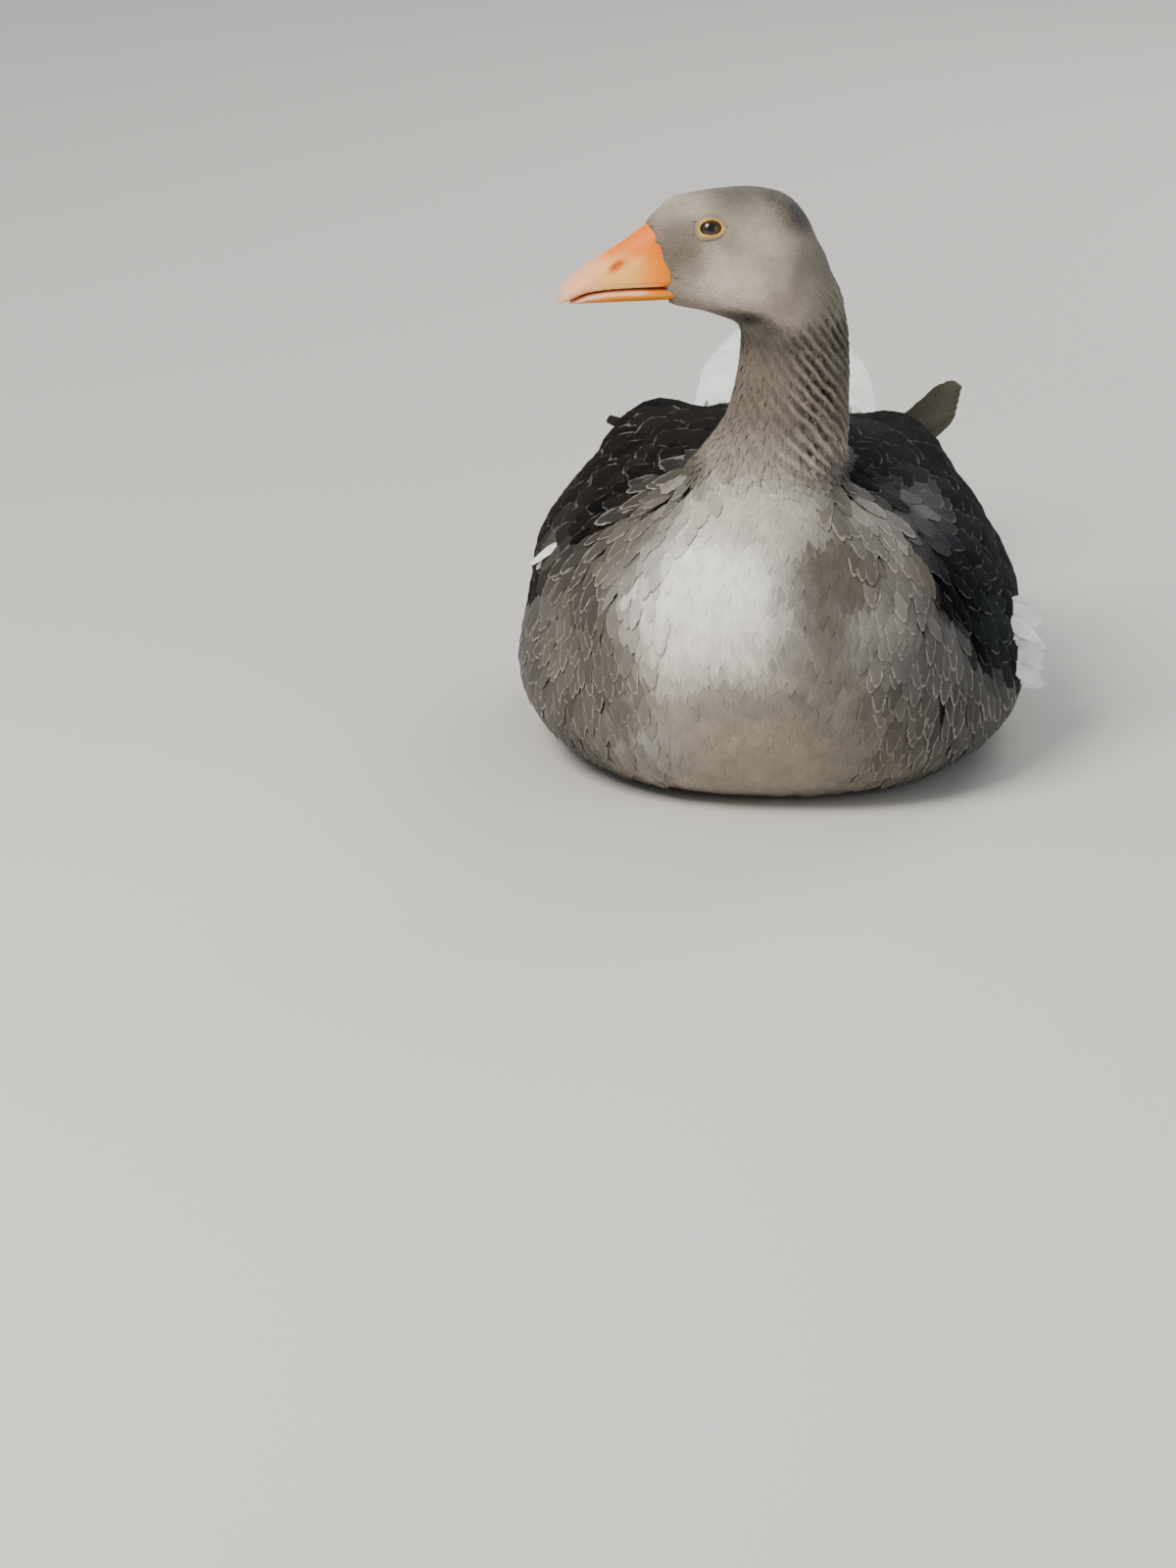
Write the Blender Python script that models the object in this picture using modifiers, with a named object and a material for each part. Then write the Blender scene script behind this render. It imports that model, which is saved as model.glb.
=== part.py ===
"""A domestic goose at rest on its belly, neck up and head turned to its right.

The whole feathered body is lofted and blended as one form, then parted with thin
cuts into the pieces a person would name. The bill, eyes, wing tips, tail, shanks
and feet are forms of their own that sit in pockets cut to fit them.

Axes: the goose faces -Y, its left side is +X, and +Z is up. The floor is z = 0.
"""

import math

import bmesh
import bpy
import numpy as np
from mathutils import Matrix, Vector

CM = 0.01
GAP = 0.0004  # air between two neighbouring solids
WING_DEPTH = 1.2 * CM  # how deep the folded wing is let into the trunk

# Trunk, in centimetres: place along Y, half width, top, height of the widest line, bottom.
TRUNK = (
    (-21.3, 1.6, 11.2, 8.9, 7.2),
    (-20.7, 4.4, 13.6, 8.6, 4.6),
    (-19.3, 7.4, 15.8, 8.0, 2.2),
    (-16.8, 10.4, 17.8, 7.1, 0.5),
    (-12.8, 12.9, 19.4, 6.2, -0.6),
    (-7.5, 14.4, 20.2, 5.6, -1.1),
    (-1.0, 15.0, 19.8, 5.3, -1.1),
    (5.0, 14.7, 18.6, 5.4, -0.9),
    (10.0, 13.3, 17.0, 6.0, -0.4),
    (14.5, 10.6, 15.1, 7.2, 1.0),
    (18.0, 7.8, 13.7, 8.5, 3.6),
    (20.5, 5.1, 12.7, 9.6, 6.4),
    (22.2, 2.6, 11.8, 10.4, 8.8),
)
TRUNK_SQUARENESS = (1.88, 2.6)  # above and below the widest line

# Neck, in centimetres: centre X, Y, Z and radius, from inside the breast to inside the head.
NECK = (
    (-1.3, -9.5, 9.5, 6.8),
    (-1.6, -12.2, 13.8, 5.4),
    (-0.9, -13.1, 16.6, 4.55),
    (0.1, -13.3, 18.9, 3.95),
    (0.7, -13.1, 20.6, 3.6),
    (0.98, -12.8, 22.4, 3.33),
    (1.2, -12.4, 25.0, 3.08),
    (1.0, -12.3, 27.7, 2.98),
    (0.3, -12.4, 30.6, 2.75),
)

# The head stands at the bill's base: forward is local +X, its left local +Y.
HEAD_AT = Vector((-6.05, -13.4, 30.3)) * CM
HEAD_TURN = math.radians(187)
HEAD_FRAME = Matrix.Translation(HEAD_AT) @ Matrix.Rotation(HEAD_TURN, 4, "Z")

# Head, in centimetres: place forward of the bill's base, half width, top, widest line, bottom.
HEAD = (
    (1.55, 0.40, 2.00, 1.20, 0.40),
    (1.20, 0.80, 2.62, 1.00, -0.50),
    (0.60, 1.25, 3.25, 0.60, -1.55),
    (0.00, 1.62, 3.85, 0.35, -2.05),
    (-0.70, 1.95, 4.28, 0.20, -2.20),
    (-1.60, 2.25, 4.50, 0.05, -2.35),
    (-2.80, 2.55, 4.62, -0.10, -2.68),
    (-4.20, 2.86, 4.74, -0.20, -3.20),
    (-5.60, 3.02, 4.62, -0.30, -3.75),
    (-6.80, 2.90, 4.05, -0.40, -4.10),
    (-7.80, 2.40, 2.92, -0.60, -4.00),
    (-8.65, 1.52, 1.15, -0.90, -3.10),
    (-9.05, 0.60, -0.20, -1.20, -2.20),
)

# Upper bill, in centimetres: place forward, half width, culmen, widest line, cutting edge.
BILL_UPPER = (
    (-1.60, 1.10, 2.20, -0.40, -0.95),
    (-0.30, 1.40, 2.72, -0.45, -0.98),
    (0.60, 1.42, 2.74, -0.48, -1.00),
    (1.40, 1.37, 2.30, -0.52, -1.02),
    (2.30, 1.29, 1.64, -0.60, -1.05),
    (3.40, 1.20, 0.92, -0.72, -1.12),
    (4.50, 1.12, 0.22, -0.92, -1.28),
    (5.20, 1.02, -0.34, -1.22, -1.58),
    (5.65, 0.84, -0.82, -1.48, -1.82),
    (5.92, 0.52, -1.20, -1.65, -1.96),
    (6.02, 0.18, -1.48, -1.74, -1.98),
)

# Lower bill, in centimetres: place forward, half width, cutting edge, widest line, underside.
BILL_LOWER = (
    (-1.60, 0.95, -0.99, -1.20, -1.55),
    (-0.30, 1.22, -1.02, -1.32, -1.76),
    (0.90, 1.24, -1.05, -1.38, -1.82),
    (2.30, 1.14, -1.10, -1.44, -1.86),
    (3.40, 1.04, -1.17, -1.52, -1.89),
    (4.40, 0.90, -1.32, -1.62, -1.92),
    (5.00, 0.72, -1.55, -1.76, -1.95),
    (5.40, 0.40, -1.76, -1.87, -1.97),
)

EYE_RADIUS = 0.72 * CM
EYE_AT = Vector((-2.72, 1.50, 2.62)) * CM  # the left one, in the head's frame

# Tail, in centimetres: place along its line, half width, thickness above and below.
TAIL_ROOT = Vector((0.1, 16.6, 10.9)) * CM
TAIL_TIP = Vector((-0.2, 32.8, 16.4)) * CM
TAIL = (
    (0.00, 4.4, 1.90, 3.60),
    (0.20, 5.3, 1.60, 2.90),
    (0.40, 5.5, 1.20, 2.10),
    (0.60, 5.0, 0.85, 1.30),
    (0.78, 4.3, 0.60, 0.75),
    (0.91, 3.4, 0.42, 0.45),
    (0.98, 2.3, 0.30, 0.30),
    (1.00, 1.0, 0.22, 0.20),
)

# The swell that each folded wing's upper edge makes on the back: centre and radii.
WING_SWELL_AT = Vector((6.6, 4.0, 13.5)) * CM
WING_SWELL = Vector((3.6, 10.0, 4.1)) * CM

# The folded wing's outline from the side, in centimetres: place along Y, height.
WING_OUTLINE = (
    (-13.2, 13.6),
    (-9.8, 9.4),
    (-3.5, 6.4),
    (3.5, 5.4),
    (9.5, 6.6),
    (14.5, 9.4),
    (17.4, 11.6),
    (14.5, 13.7),
    (9.0, 15.9),
    (2.0, 18.2),
    (-5.0, 18.9),
    (-11.0, 17.2),
)

# The wing tip's folded primaries, in centimetres: centre X, Y, Z, half width and half thickness.
# The right wing is held lower and further out: both tips sway to the right, and that one droops.
WING_TIP = (
    (9.0, 5.0, 13.5, 2.8, 1.20),
    (9.4, 9.0, 14.0, 2.8, 1.05),
    (9.9, 13.0, 14.4, 2.5, 0.85),
    (10.4, 16.5, 14.7, 1.9, 0.60),
    (10.8, 19.0, 14.9, 1.1, 0.42),
    (11.0, 20.5, 15.0, 0.5, 0.25),
)

WING_TIP_SWAY = Vector((-0.45, 0, 0)) * CM
WING_TIP_DROOP = 2.2 * CM

SHANK_LENGTH = 7.6 * CM
SHANK_RADIUS = 0.78 * CM
HOCK_RADIUS = 1.0 * CM
TOE_JOINT = Vector((6.2, -0.8, 0)) * CM  # the left one
TOES = ((-24, 7.0), (1, 8.2), (27, 6.6))  # degrees from straight ahead, length in cm
TOE_RADIUS = 0.42 * CM
CLAW_LENGTH = 0.9 * CM
WEB_THICKNESS = 0.32 * CM
FOOT_TURN = 8  # degrees that each foot points outwards

# Cuts across the neck: a point in centimetres and the normal, which points to the head.
BREAST_CUT = ((0, -8.5, 19.6), (0, -0.47, 0.88))
NECK_CUT = ((1, -13, 22.6), (0, 0, 1))
THROAT_CUT = ((1.5, -12.4, 26.35), (0.08, 0, 1))

PLUMAGE_TAUPE = ("plumage_taupe", (0.235, 0.185, 0.150), 0.85)
PLUMAGE_PALE = ("plumage_pale", (0.400, 0.350, 0.300), 0.85)
PLUMAGE_DARK = ("plumage_dark", (0.045, 0.037, 0.034), 0.80)
PLUMAGE_WHITE = ("plumage_white", (0.720, 0.720, 0.700), 0.85)
BILL_HORN = ("bill_orange", (0.820, 0.270, 0.045), 0.42)
LEG_SKIN = ("leg_orange", (0.760, 0.250, 0.050), 0.55)
EYE_GLOSS = ("eye_brown", (0.030, 0.014, 0.006), 0.08)


def clear_scene():
    for old in list(bpy.data.objects):
        bpy.data.objects.remove(old)


def new_collection(name):
    collection = bpy.data.collections.new(name)
    bpy.context.scene.collection.children.link(collection)
    return collection


def add_mesh(name, mesh, collection):
    obj = bpy.data.objects.new(name, mesh)
    collection.objects.link(obj)
    return obj


def smooth_rows(rows, steps):
    """Rows of numbers joined by a Catmull-Rom curve, with this many steps to a span."""
    rows = np.array(rows, float)
    padded = np.vstack([2 * rows[0] - rows[1], rows, 2 * rows[-1] - rows[-2]])
    made = []
    for a, b, c, d in zip(padded, padded[1:], padded[2:], padded[3:]):
        for t in np.arange(steps) / steps:
            bend = (2 * a - 5 * b + 4 * c - d) * t**2 + (3 * b - a - 3 * c + d) * t**3
            made.append((2 * b + (c - a) * t + bend) / 2)
    made.append(rows[-1])
    return np.array(made)


def egg_ring(centre, side, up, half_width, rise, drop, squareness, count):
    """A closed ring: an upper and a lower half ellipse that meet at the widest line."""
    ring = []
    for k in range(count):
        angle = 2 * math.pi * k / count
        c, s = math.cos(angle), math.sin(angle)
        power = 2 / squareness[0 if s >= 0 else 1]
        across = math.copysign(abs(c) ** power, c) * half_width
        height = math.copysign(abs(s) ** power, s) * (rise if s >= 0 else drop)
        ring.append(centre + side * across + up * height)
    return ring


def loft(name, rings, collection):
    """A closed solid through rings that all have the same number of points."""
    bm = bmesh.new()
    rows = [[bm.verts.new(p) for p in ring] for ring in rings]
    for low, high in zip(rows, rows[1:]):
        for k in range(len(low)):
            n = (k + 1) % len(low)
            bm.faces.new((low[k], low[n], high[n], high[k]))
    bm.faces.new(list(reversed(rows[0])))
    bm.faces.new(rows[-1])
    bmesh.ops.recalc_face_normals(bm, faces=bm.faces)
    mesh = bpy.data.meshes.new(name)
    bm.to_mesh(mesh)
    bm.free()
    return add_mesh(name, mesh, collection)


def loft_upright(name, table, squareness, collection, inset=0.0, steps=3, count=40):
    """A loft along one axis from rows of place, half width, top, widest line, bottom."""
    rows = smooth_rows(table, steps) * CM
    middle = (rows[0, 0] + rows[-1, 0]) / 2
    reach = 1 - inset / abs(rows[-1, 0] - middle)
    rings = []
    for place, half_width, top, widest, bottom in rows:
        centre = Vector((0, middle + (place - middle) * reach, widest))
        rise, drop = top - widest - inset, widest - bottom - inset
        sizes = [max(size, 0.1 * CM) for size in (half_width - inset, rise, drop)]
        rings.append(
            egg_ring(centre, Vector((1, 0, 0)), Vector((0, 0, 1)), *sizes, squareness, count)
        )
    return loft(name, rings, collection)


def in_head_frame(obj):
    """Turns a loft that was made along Y so that it lies along the head's own axis."""
    obj.data.transform(HEAD_FRAME @ Matrix.Rotation(-math.pi / 2, 4, "Z"))
    obj.data.update()
    return obj


def neck_form(collection):
    rows = smooth_rows(NECK, 4) * CM
    centres = [Vector(row[:3]) for row in rows]
    rings = []
    for k, centre in enumerate(centres):
        ahead = centres[min(k + 1, len(centres) - 1)]
        behind = centres[max(k - 1, 0)]
        along = (ahead - behind).normalized()
        side = Vector((0, -1, 0)).cross(along).normalized()
        front = along.cross(side)
        radius = rows[k][3]
        rings.append(egg_ring(centre, side, front, radius, radius, radius, (2, 2), 28))
    return loft("neck_form", rings, collection)


def evaluated_copy(obj, name, collection):
    """The object's mesh with its modifiers applied, as a new object."""
    graph = bpy.context.evaluated_depsgraph_get()
    mesh = bpy.data.meshes.new_from_object(obj.evaluated_get(graph))
    mesh.transform(obj.matrix_world)
    mesh.materials.clear()
    return add_mesh(name, mesh, collection)


def blended(name, objects, voxel, rounds, collection):
    """Several overlapping forms as one smooth skin."""
    bm = bmesh.new()
    for obj in objects:
        bm.from_mesh(obj.data)
    mesh = bpy.data.meshes.new(name)
    bm.to_mesh(mesh)
    bm.free()
    whole = add_mesh(name + "_raw", mesh, collection)
    remesh = whole.modifiers.new("Remesh", "REMESH")
    remesh.mode = "VOXEL"
    remesh.voxel_size = voxel
    smooth = whole.modifiers.new("Smooth", "SMOOTH")
    smooth.factor = 0.5
    smooth.iterations = rounds
    return evaluated_copy(whole, name, collection)


def lighter(obj, name, share, collection):
    """The same form with this share of its faces."""
    modifier = obj.modifiers.new("Decimate", "DECIMATE")
    modifier.ratio = share
    copy = evaluated_copy(obj, name, collection)
    obj.modifiers.remove(modifier)
    return copy


def grown(obj, by, collection):
    """A cutter a little larger than the object."""
    modifier = obj.modifiers.new("Displace", "DISPLACE")
    modifier.strength = by
    modifier.mid_level = 0
    copy = evaluated_copy(obj, obj.name + "_grown", collection)
    obj.modifiers.remove(modifier)
    return copy


def keep_beyond(obj, point, normal, clear=GAP / 2):
    """Cuts the solid with a plane, keeps what lies on the normal's side and closes the cut."""
    normal = Vector(normal).normalized()
    point = Vector(point) + normal * clear
    bm = bmesh.new()
    bm.from_mesh(obj.data)
    everything = bm.verts[:] + bm.edges[:] + bm.faces[:]
    bmesh.ops.bisect_plane(
        bm, geom=everything, plane_co=point, plane_no=normal, clear_inner=True
    )
    rim = [edge for edge in bm.edges if edge.is_boundary]
    bmesh.ops.edgeloop_fill(bm, edges=rim)
    bmesh.ops.triangulate(bm, faces=[f for f in bm.faces if len(f.verts) > 4])
    bmesh.ops.recalc_face_normals(bm, faces=bm.faces)
    bm.to_mesh(obj.data)
    bm.free()


def keep_between(obj, low_cut=None, high_cut=None):
    if low_cut:
        keep_beyond(obj, Vector(low_cut[0]) * CM, low_cut[1])
    if high_cut:
        keep_beyond(obj, Vector(high_cut[0]) * CM, -Vector(high_cut[1]))


def boolean(obj, other, operation):
    """Applies one Boolean to the object's own mesh."""
    modifier = obj.modifiers.new("Boolean", "BOOLEAN")
    modifier.operation = operation
    modifier.object = other
    graph = bpy.context.evaluated_depsgraph_get()
    mesh = bpy.data.meshes.new_from_object(obj.evaluated_get(graph))
    obj.modifiers.remove(modifier)
    obj.data = mesh


def ellipsoid(name, radius, matrix, collection, segments=14):
    bm = bmesh.new()
    bmesh.ops.create_uvsphere(
        bm, u_segments=segments, v_segments=segments // 2, radius=radius, matrix=matrix
    )
    mesh = bpy.data.meshes.new(name)
    bm.to_mesh(mesh)
    bm.free()
    return add_mesh(name, mesh, collection)


def make_bill(parts):
    """Both halves of the bill, roots included, lying along the head's axis."""
    upper = loft_upright("bill_upper", BILL_UPPER, (1.75, 2.6), parts, steps=2, count=16)
    lower = loft_upright("bill_lower", BILL_LOWER, (2.6, 1.9), parts, steps=2, count=14)
    return in_head_frame(upper), in_head_frame(lower)


def make_eye(side, name, radius, collection):
    at = HEAD_FRAME @ Vector((EYE_AT.x, EYE_AT.y * side, EYE_AT.z))
    return ellipsoid(name, radius, Matrix.Translation(at), collection)


def wing_swell(side, collection):
    size = Matrix.Diagonal((*WING_SWELL, 1))
    at = Vector((side * WING_SWELL_AT.x, WING_SWELL_AT.y, WING_SWELL_AT.z))
    return ellipsoid("wing_swell", 1, Matrix.Translation(at) @ size, collection, 32)


def prism(name, outline, place, turn, thickness, collection):
    """A flat outline extruded to a thickness, with its middle at the place given."""
    curve = bpy.data.curves.new(name, "CURVE")
    curve.dimensions = "2D"
    curve.fill_mode = "BOTH"
    curve.extrude = thickness / 2
    points = [tuple(p) for p in outline]
    spline = curve.splines.new("POLY")
    spline.points.add(len(points) - 1)
    for point, (x, y) in zip(spline.points, points):
        point.co = (x, y, 0, 1)
    spline.use_cyclic_u = True
    flat = add_mesh(name + "_curve", curve, collection)
    flat.matrix_world = Matrix.Translation(place) @ turn
    bpy.context.view_layer.update()
    solid = evaluated_copy(flat, name, collection)
    bm = bmesh.new()
    bm.from_mesh(solid.data)
    bmesh.ops.remove_doubles(bm, verts=bm.verts, dist=1e-6)
    bmesh.ops.recalc_face_normals(bm, faces=bm.faces)
    bm.to_mesh(solid.data)
    bm.free()
    bpy.data.objects.remove(flat)
    return solid


def closed_curve(points, steps):
    """A closed outline through the points, as a Catmull-Rom curve, in metres."""
    around = [points[-1], *points, points[0], points[1]]
    rows = smooth_rows(around, steps)
    return rows[steps : steps * (len(points) + 1)] * CM


def wing_prism(side, name, by, cutters):
    """The folded wing's outline, grown by a little, as a slab through that side of the body."""
    outline = closed_curve(WING_OUTLINE, 2)
    middle = outline.mean(axis=0)
    reach = 1 + by / np.linalg.norm(outline - middle, axis=1).mean()
    outline = middle + (outline - middle) * reach
    # The curve's own X and Y become the body's Y and Z.
    turn = Matrix(((0, 0, 1, 0), (1, 0, 0, 0), (0, 1, 0, 0), (0, 0, 0, 1)))
    return prism(name, outline, Vector((side * 12 * CM, 0, 0)), turn, 20 * CM, cutters)


def make_wing(side, name, envelope, core, parts, cutters):
    wing = lighter(envelope, name, 0.015, parts)
    boolean(wing, wing_prism(side, name + "_outline", 0, cutters), "INTERSECT")
    boolean(wing, core, "DIFFERENCE")
    return wing


def wing_pocket(side, name, deep_core, cutters):
    pocket = wing_prism(side, name, 2 * GAP, cutters)
    boolean(pocket, deep_core, "DIFFERENCE")
    return pocket


def make_wing_tip(side, name, body, parts):
    """The folded primaries: a blade that tapers back from the wing."""
    rings = []
    for x, y, z, half_height, half_thickness in smooth_rows(WING_TIP, 2) * CM:
        centre = Vector((side * x, y, z)) + WING_TIP_SWAY
        centre.z -= WING_TIP_DROOP * (side < 0)
        lean = Vector((0.8 * side, 0, -0.6))
        out = lean.cross(Vector((0, 1, 0))) * side
        sizes = (half_height, half_thickness, half_thickness)
        rings.append(egg_ring(centre, lean, out, *sizes, (2, 2), 12))
    tip = loft(name, rings, parts)
    boolean(tip, body, "DIFFERENCE")
    return tip


def make_tail(body, parts):
    """The fan of the tail with its coverts, swung a little to the goose's right."""
    along = (TAIL_TIP - TAIL_ROOT).normalized()
    side = along.cross(Vector((0, 0, 1))).normalized()
    up = side.cross(along)
    rings = []
    for share, half_width, above, below in smooth_rows(TAIL, 2):
        centre = TAIL_ROOT.lerp(TAIL_TIP, share)
        sizes = [size * CM for size in (half_width, above, below)]
        rings.append(egg_ring(centre, side, up, *sizes, (2.2, 2.2), 16))
    tail = loft("tail", rings, parts)
    boolean(tail, body, "DIFFERENCE")
    return tail


def drop_crumbs(obj):
    """Keeps only the largest loose piece that a Boolean leaves."""
    bm = bmesh.new()
    bm.from_mesh(obj.data)
    seen, groups = set(), []
    for start in bm.verts:
        if start in seen:
            continue
        group, waiting = [], [start]
        seen.add(start)
        while waiting:
            vert = waiting.pop()
            group.append(vert)
            for edge in vert.link_edges:
                other = edge.other_vert(vert)
                if other not in seen:
                    seen.add(other)
                    waiting.append(other)
        groups.append(group)
    largest = max(groups, key=len)
    crumbs = [vert for group in groups if group is not largest for vert in group]
    bmesh.ops.delete(bm, geom=crumbs, context="VERTS")
    bm.to_mesh(obj.data)
    bm.free()


def cone_between(name, start, end, start_radius, end_radius, collection):
    along = end - start
    turn = along.to_track_quat("Z", "Y").to_matrix().to_4x4()
    bm = bmesh.new()
    bmesh.ops.create_cone(
        bm,
        cap_ends=True,
        segments=14,
        radius1=start_radius,
        radius2=end_radius,
        depth=along.length,
        matrix=Matrix.Translation((start + end) / 2) @ turn,
    )
    mesh = bpy.data.meshes.new(name)
    bm.to_mesh(mesh)
    bm.free()
    return add_mesh(name, mesh, collection)


def toe_directions(side):
    for degrees, length in TOES:
        angle = math.radians(degrees + FOOT_TURN)
        yield Vector((side * math.sin(angle), -math.cos(angle), 0)), length * CM


def web_outline(joint, side):
    """The web's edge: from toe tip to toe tip with a hollow between, and round the heel."""
    tips = [joint + along * length for along, length in toe_directions(side)]
    outline = [joint + Vector((-side * 0.9, 0.9, 0)) * CM]
    for k, tip in enumerate(tips):
        outline.append(tip)
        if k + 1 < len(tips):
            hollow = (tip + tips[k + 1]) / 2
            outline.append(hollow.lerp(joint, 0.14))
    outline.append(joint + Vector((side * 0.9, 0.9, 0)) * CM)
    return outline


def make_foot(side, name, parts, cutters):
    """A webbed foot lying flat: three toes with claws, the web between, and the hind toe."""
    joint = Vector((side * TOE_JOINT.x, TOE_JOINT.y, 0))
    level = Vector((0, 0, WEB_THICKNESS / 2))
    flat = [(p.x, p.y) for p in web_outline(joint, side)]
    forms = [prism(name + "_web", flat, level, Matrix(), WEB_THICKNESS, cutters)]
    low = Vector((0, 0, 0.9 * TOE_RADIUS))
    heel = joint + Vector((0, 0, SHANK_RADIUS * 0.7))
    for k, (along, length) in enumerate(toe_directions(side)):
        tip = joint + along * length + low
        claw = tip + along * CLAW_LENGTH - Vector((0, 0, 0.15 * CM))
        toe = f"{name}_toe{k}"
        forms.append(cone_between(toe, heel, tip, 1.5 * TOE_RADIUS, TOE_RADIUS, cutters))
        forms.append(ellipsoid(toe + "_end", TOE_RADIUS, Matrix.Translation(tip), cutters, 12))
        forms.append(cone_between(toe + "_claw", tip, claw, 0.26 * CM, 0.1 * CM, cutters))
    foot = blended(name + "_blend", forms, 0.14 * CM, 2, cutters)
    foot = lighter(foot, name, 0.035, parts)
    keep_beyond(foot, (0, 0, 0), (0, 0, 1), clear=0)
    keep_beyond(foot, joint + Vector((0, 0.9 * CM, 0)), (0, -1, 0))
    return foot


def make_shank(side, name, parts):
    """The bare shank lying on the floor, from the toes' joint back to the hock."""
    front = Vector((side * TOE_JOINT.x, TOE_JOINT.y + 0.9 * CM, SHANK_RADIUS * 0.86))
    hock = front + Vector((0, SHANK_LENGTH, HOCK_RADIUS - SHANK_RADIUS))
    rings = []
    spans = ((0, 1.0), (0.25, 0.92), (0.6, 0.95), (0.85, 1.15), (0.97, 1.0), (1, 0.6))
    for share, girth in smooth_rows(spans, 2):
        radius = SHANK_RADIUS * girth
        at = front.lerp(hock, share)
        rings.append(
            egg_ring(at, Vector((1, 0, 0)), Vector((0, 0, 1)), radius, radius, radius, (2, 2), 12)
        )
    shank = loft(name, rings, parts)
    keep_beyond(shank, (0, 0, 0), (0, 0, 1), clear=0)
    keep_beyond(shank, front, (0, 1, 0))
    return shank


def leg_pocket(side, name, cutters):
    """The hollow that the folded leg presses into the belly's down."""
    joint = Vector((side * TOE_JOINT.x, TOE_JOINT.y, 0))
    rim = [(p - joint) * 1.03 + joint for p in web_outline(joint, side)[1:-1]]
    tips = list(toe_directions(side))
    ahead = [joint + along * (length + CLAW_LENGTH + 0.3 * CM) for along, length in tips]
    half = HOCK_RADIUS + 0.2 * CM
    back = joint.y + SHANK_LENGTH + 1.6 * CM
    sides = [Vector((joint.x - side * half, back, 0)), rim[0] + Vector((-side * 0.6 * CM, 0, 0))]
    far = [rim[-1] + Vector((side * 0.6 * CM, 0, 0)), Vector((joint.x + side * half, back, 0))]
    outline = [(p.x, p.y) for p in [*sides, *ahead, *far]]
    height = 2 * (2 * HOCK_RADIUS + 0.1 * CM)
    return prism(name, outline, Vector((0, 0, 0)), Matrix(), height, cutters)


def paint(obj, look):
    name, colour, roughness = look
    material = bpy.data.materials.get(name)
    if material is None:
        material = bpy.data.materials.new(name)
        material.use_nodes = True
        shader = material.node_tree.nodes["Principled BSDF"]
        shader.inputs["Base Color"].default_value = (*colour, 1)
        shader.inputs["Roughness"].default_value = roughness
        material.diffuse_color = (*colour, 1)
    obj.data.materials.clear()
    obj.data.materials.append(material)
    obj.data.shade_smooth()
    obj.data.set_sharp_from_angle(angle=math.radians(40))


def stand_on_origin(objects):
    """Moves the goose so that its box stands centred on the origin, on the floor."""
    points = np.array([v.co for obj in objects for v in obj.data.vertices])
    low, high = points.min(axis=0), points.max(axis=0)
    shift = Vector((-(low[0] + high[0]) / 2, -(low[1] + high[1]) / 2, 0))
    for obj in objects:
        obj.data.transform(Matrix.Translation(shift))
    print("shift", [round(v, 5) for v in shift])


def build_goose():
    clear_scene()
    parts = new_collection("domestic_goose")
    cutters = new_collection("cutters")

    trunk_form = loft_upright("trunk_form", TRUNK, TRUNK_SQUARENESS, cutters)
    core = loft_upright("core", TRUNK, TRUNK_SQUARENESS, cutters, inset=WING_DEPTH)
    deep = WING_DEPTH + GAP
    deep_core = loft_upright("deep_core", TRUNK, TRUNK_SQUARENESS, cutters, inset=deep)
    neck = neck_form(cutters)
    head_form = in_head_frame(loft_upright("head_form", HEAD, (2.0, 2.1), cutters))

    swells = [wing_swell(side, cutters) for side in (1, -1)]
    breast = blended("breast", [trunk_form, neck, *swells], 0.6 * CM, 14, cutters)
    envelope = blended("envelope", [breast, neck, head_form], 0.32 * CM, 6, cutters)
    around_body = grown(lighter(envelope, "body_hull", 0.015, cutters), GAP, cutters)

    trunk = lighter(envelope, "trunk", 0.015, parts)
    keep_between(trunk, high_cut=BREAST_CUT)
    neck_lower = lighter(envelope, "neck_lower", 0.028, parts)
    keep_between(neck_lower, BREAST_CUT, NECK_CUT)
    neck_upper = lighter(envelope, "neck_upper", 0.04, parts)
    keep_between(neck_upper, NECK_CUT, THROAT_CUT)
    head = lighter(envelope, "head", 0.04, parts)
    keep_between(head, low_cut=THROAT_CUT)

    bills = make_bill(parts)
    for bill in bills:
        boolean(head, grown(bill, GAP, cutters), "DIFFERENCE")
    eyes = []
    for side, word in ((1, "left"), (-1, "right")):
        eyes.append(make_eye(side, "eye_" + word, EYE_RADIUS, parts))
        socket = make_eye(side, "socket_" + word, EYE_RADIUS + GAP, cutters)
        boolean(head, socket, "DIFFERENCE")

    wings, tips, legs = [], [], []
    for side, word in ((1, "left"), (-1, "right")):
        wings.append(make_wing(side, "wing_" + word, envelope, core, parts, cutters))
        boolean(trunk, wing_pocket(side, "wing_pocket_" + word, deep_core, cutters), "DIFFERENCE")
        tips.append(make_wing_tip(side, "wingtip_" + word, around_body, parts))
        legs.append(make_foot(side, "foot_" + word, parts, cutters))
        legs.append(make_shank(side, "shank_" + word, parts))
        boolean(trunk, leg_pocket(side, "leg_pocket_" + word, cutters), "DIFFERENCE")
    tail = make_tail(around_body, parts)
    keep_beyond(trunk, (0, 0, 0), (0, 0, 1), clear=0)

    for obj in parts.objects:
        drop_crumbs(obj)
    looks = {
        PLUMAGE_TAUPE: [head, neck_upper, neck_lower],
        PLUMAGE_PALE: [trunk],
        PLUMAGE_DARK: [*wings, *tips],
        PLUMAGE_WHITE: [tail],
        BILL_HORN: bills,
        LEG_SKIN: legs,
        EYE_GLOSS: eyes,
    }
    for look, objects in looks.items():
        for obj in objects:
            paint(obj, look)
    for helper in cutters.objects:
        helper.hide_render = True
        helper.display_type = "WIRE"
    stand_on_origin(list(parts.objects))


build_goose()
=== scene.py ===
import math

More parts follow.
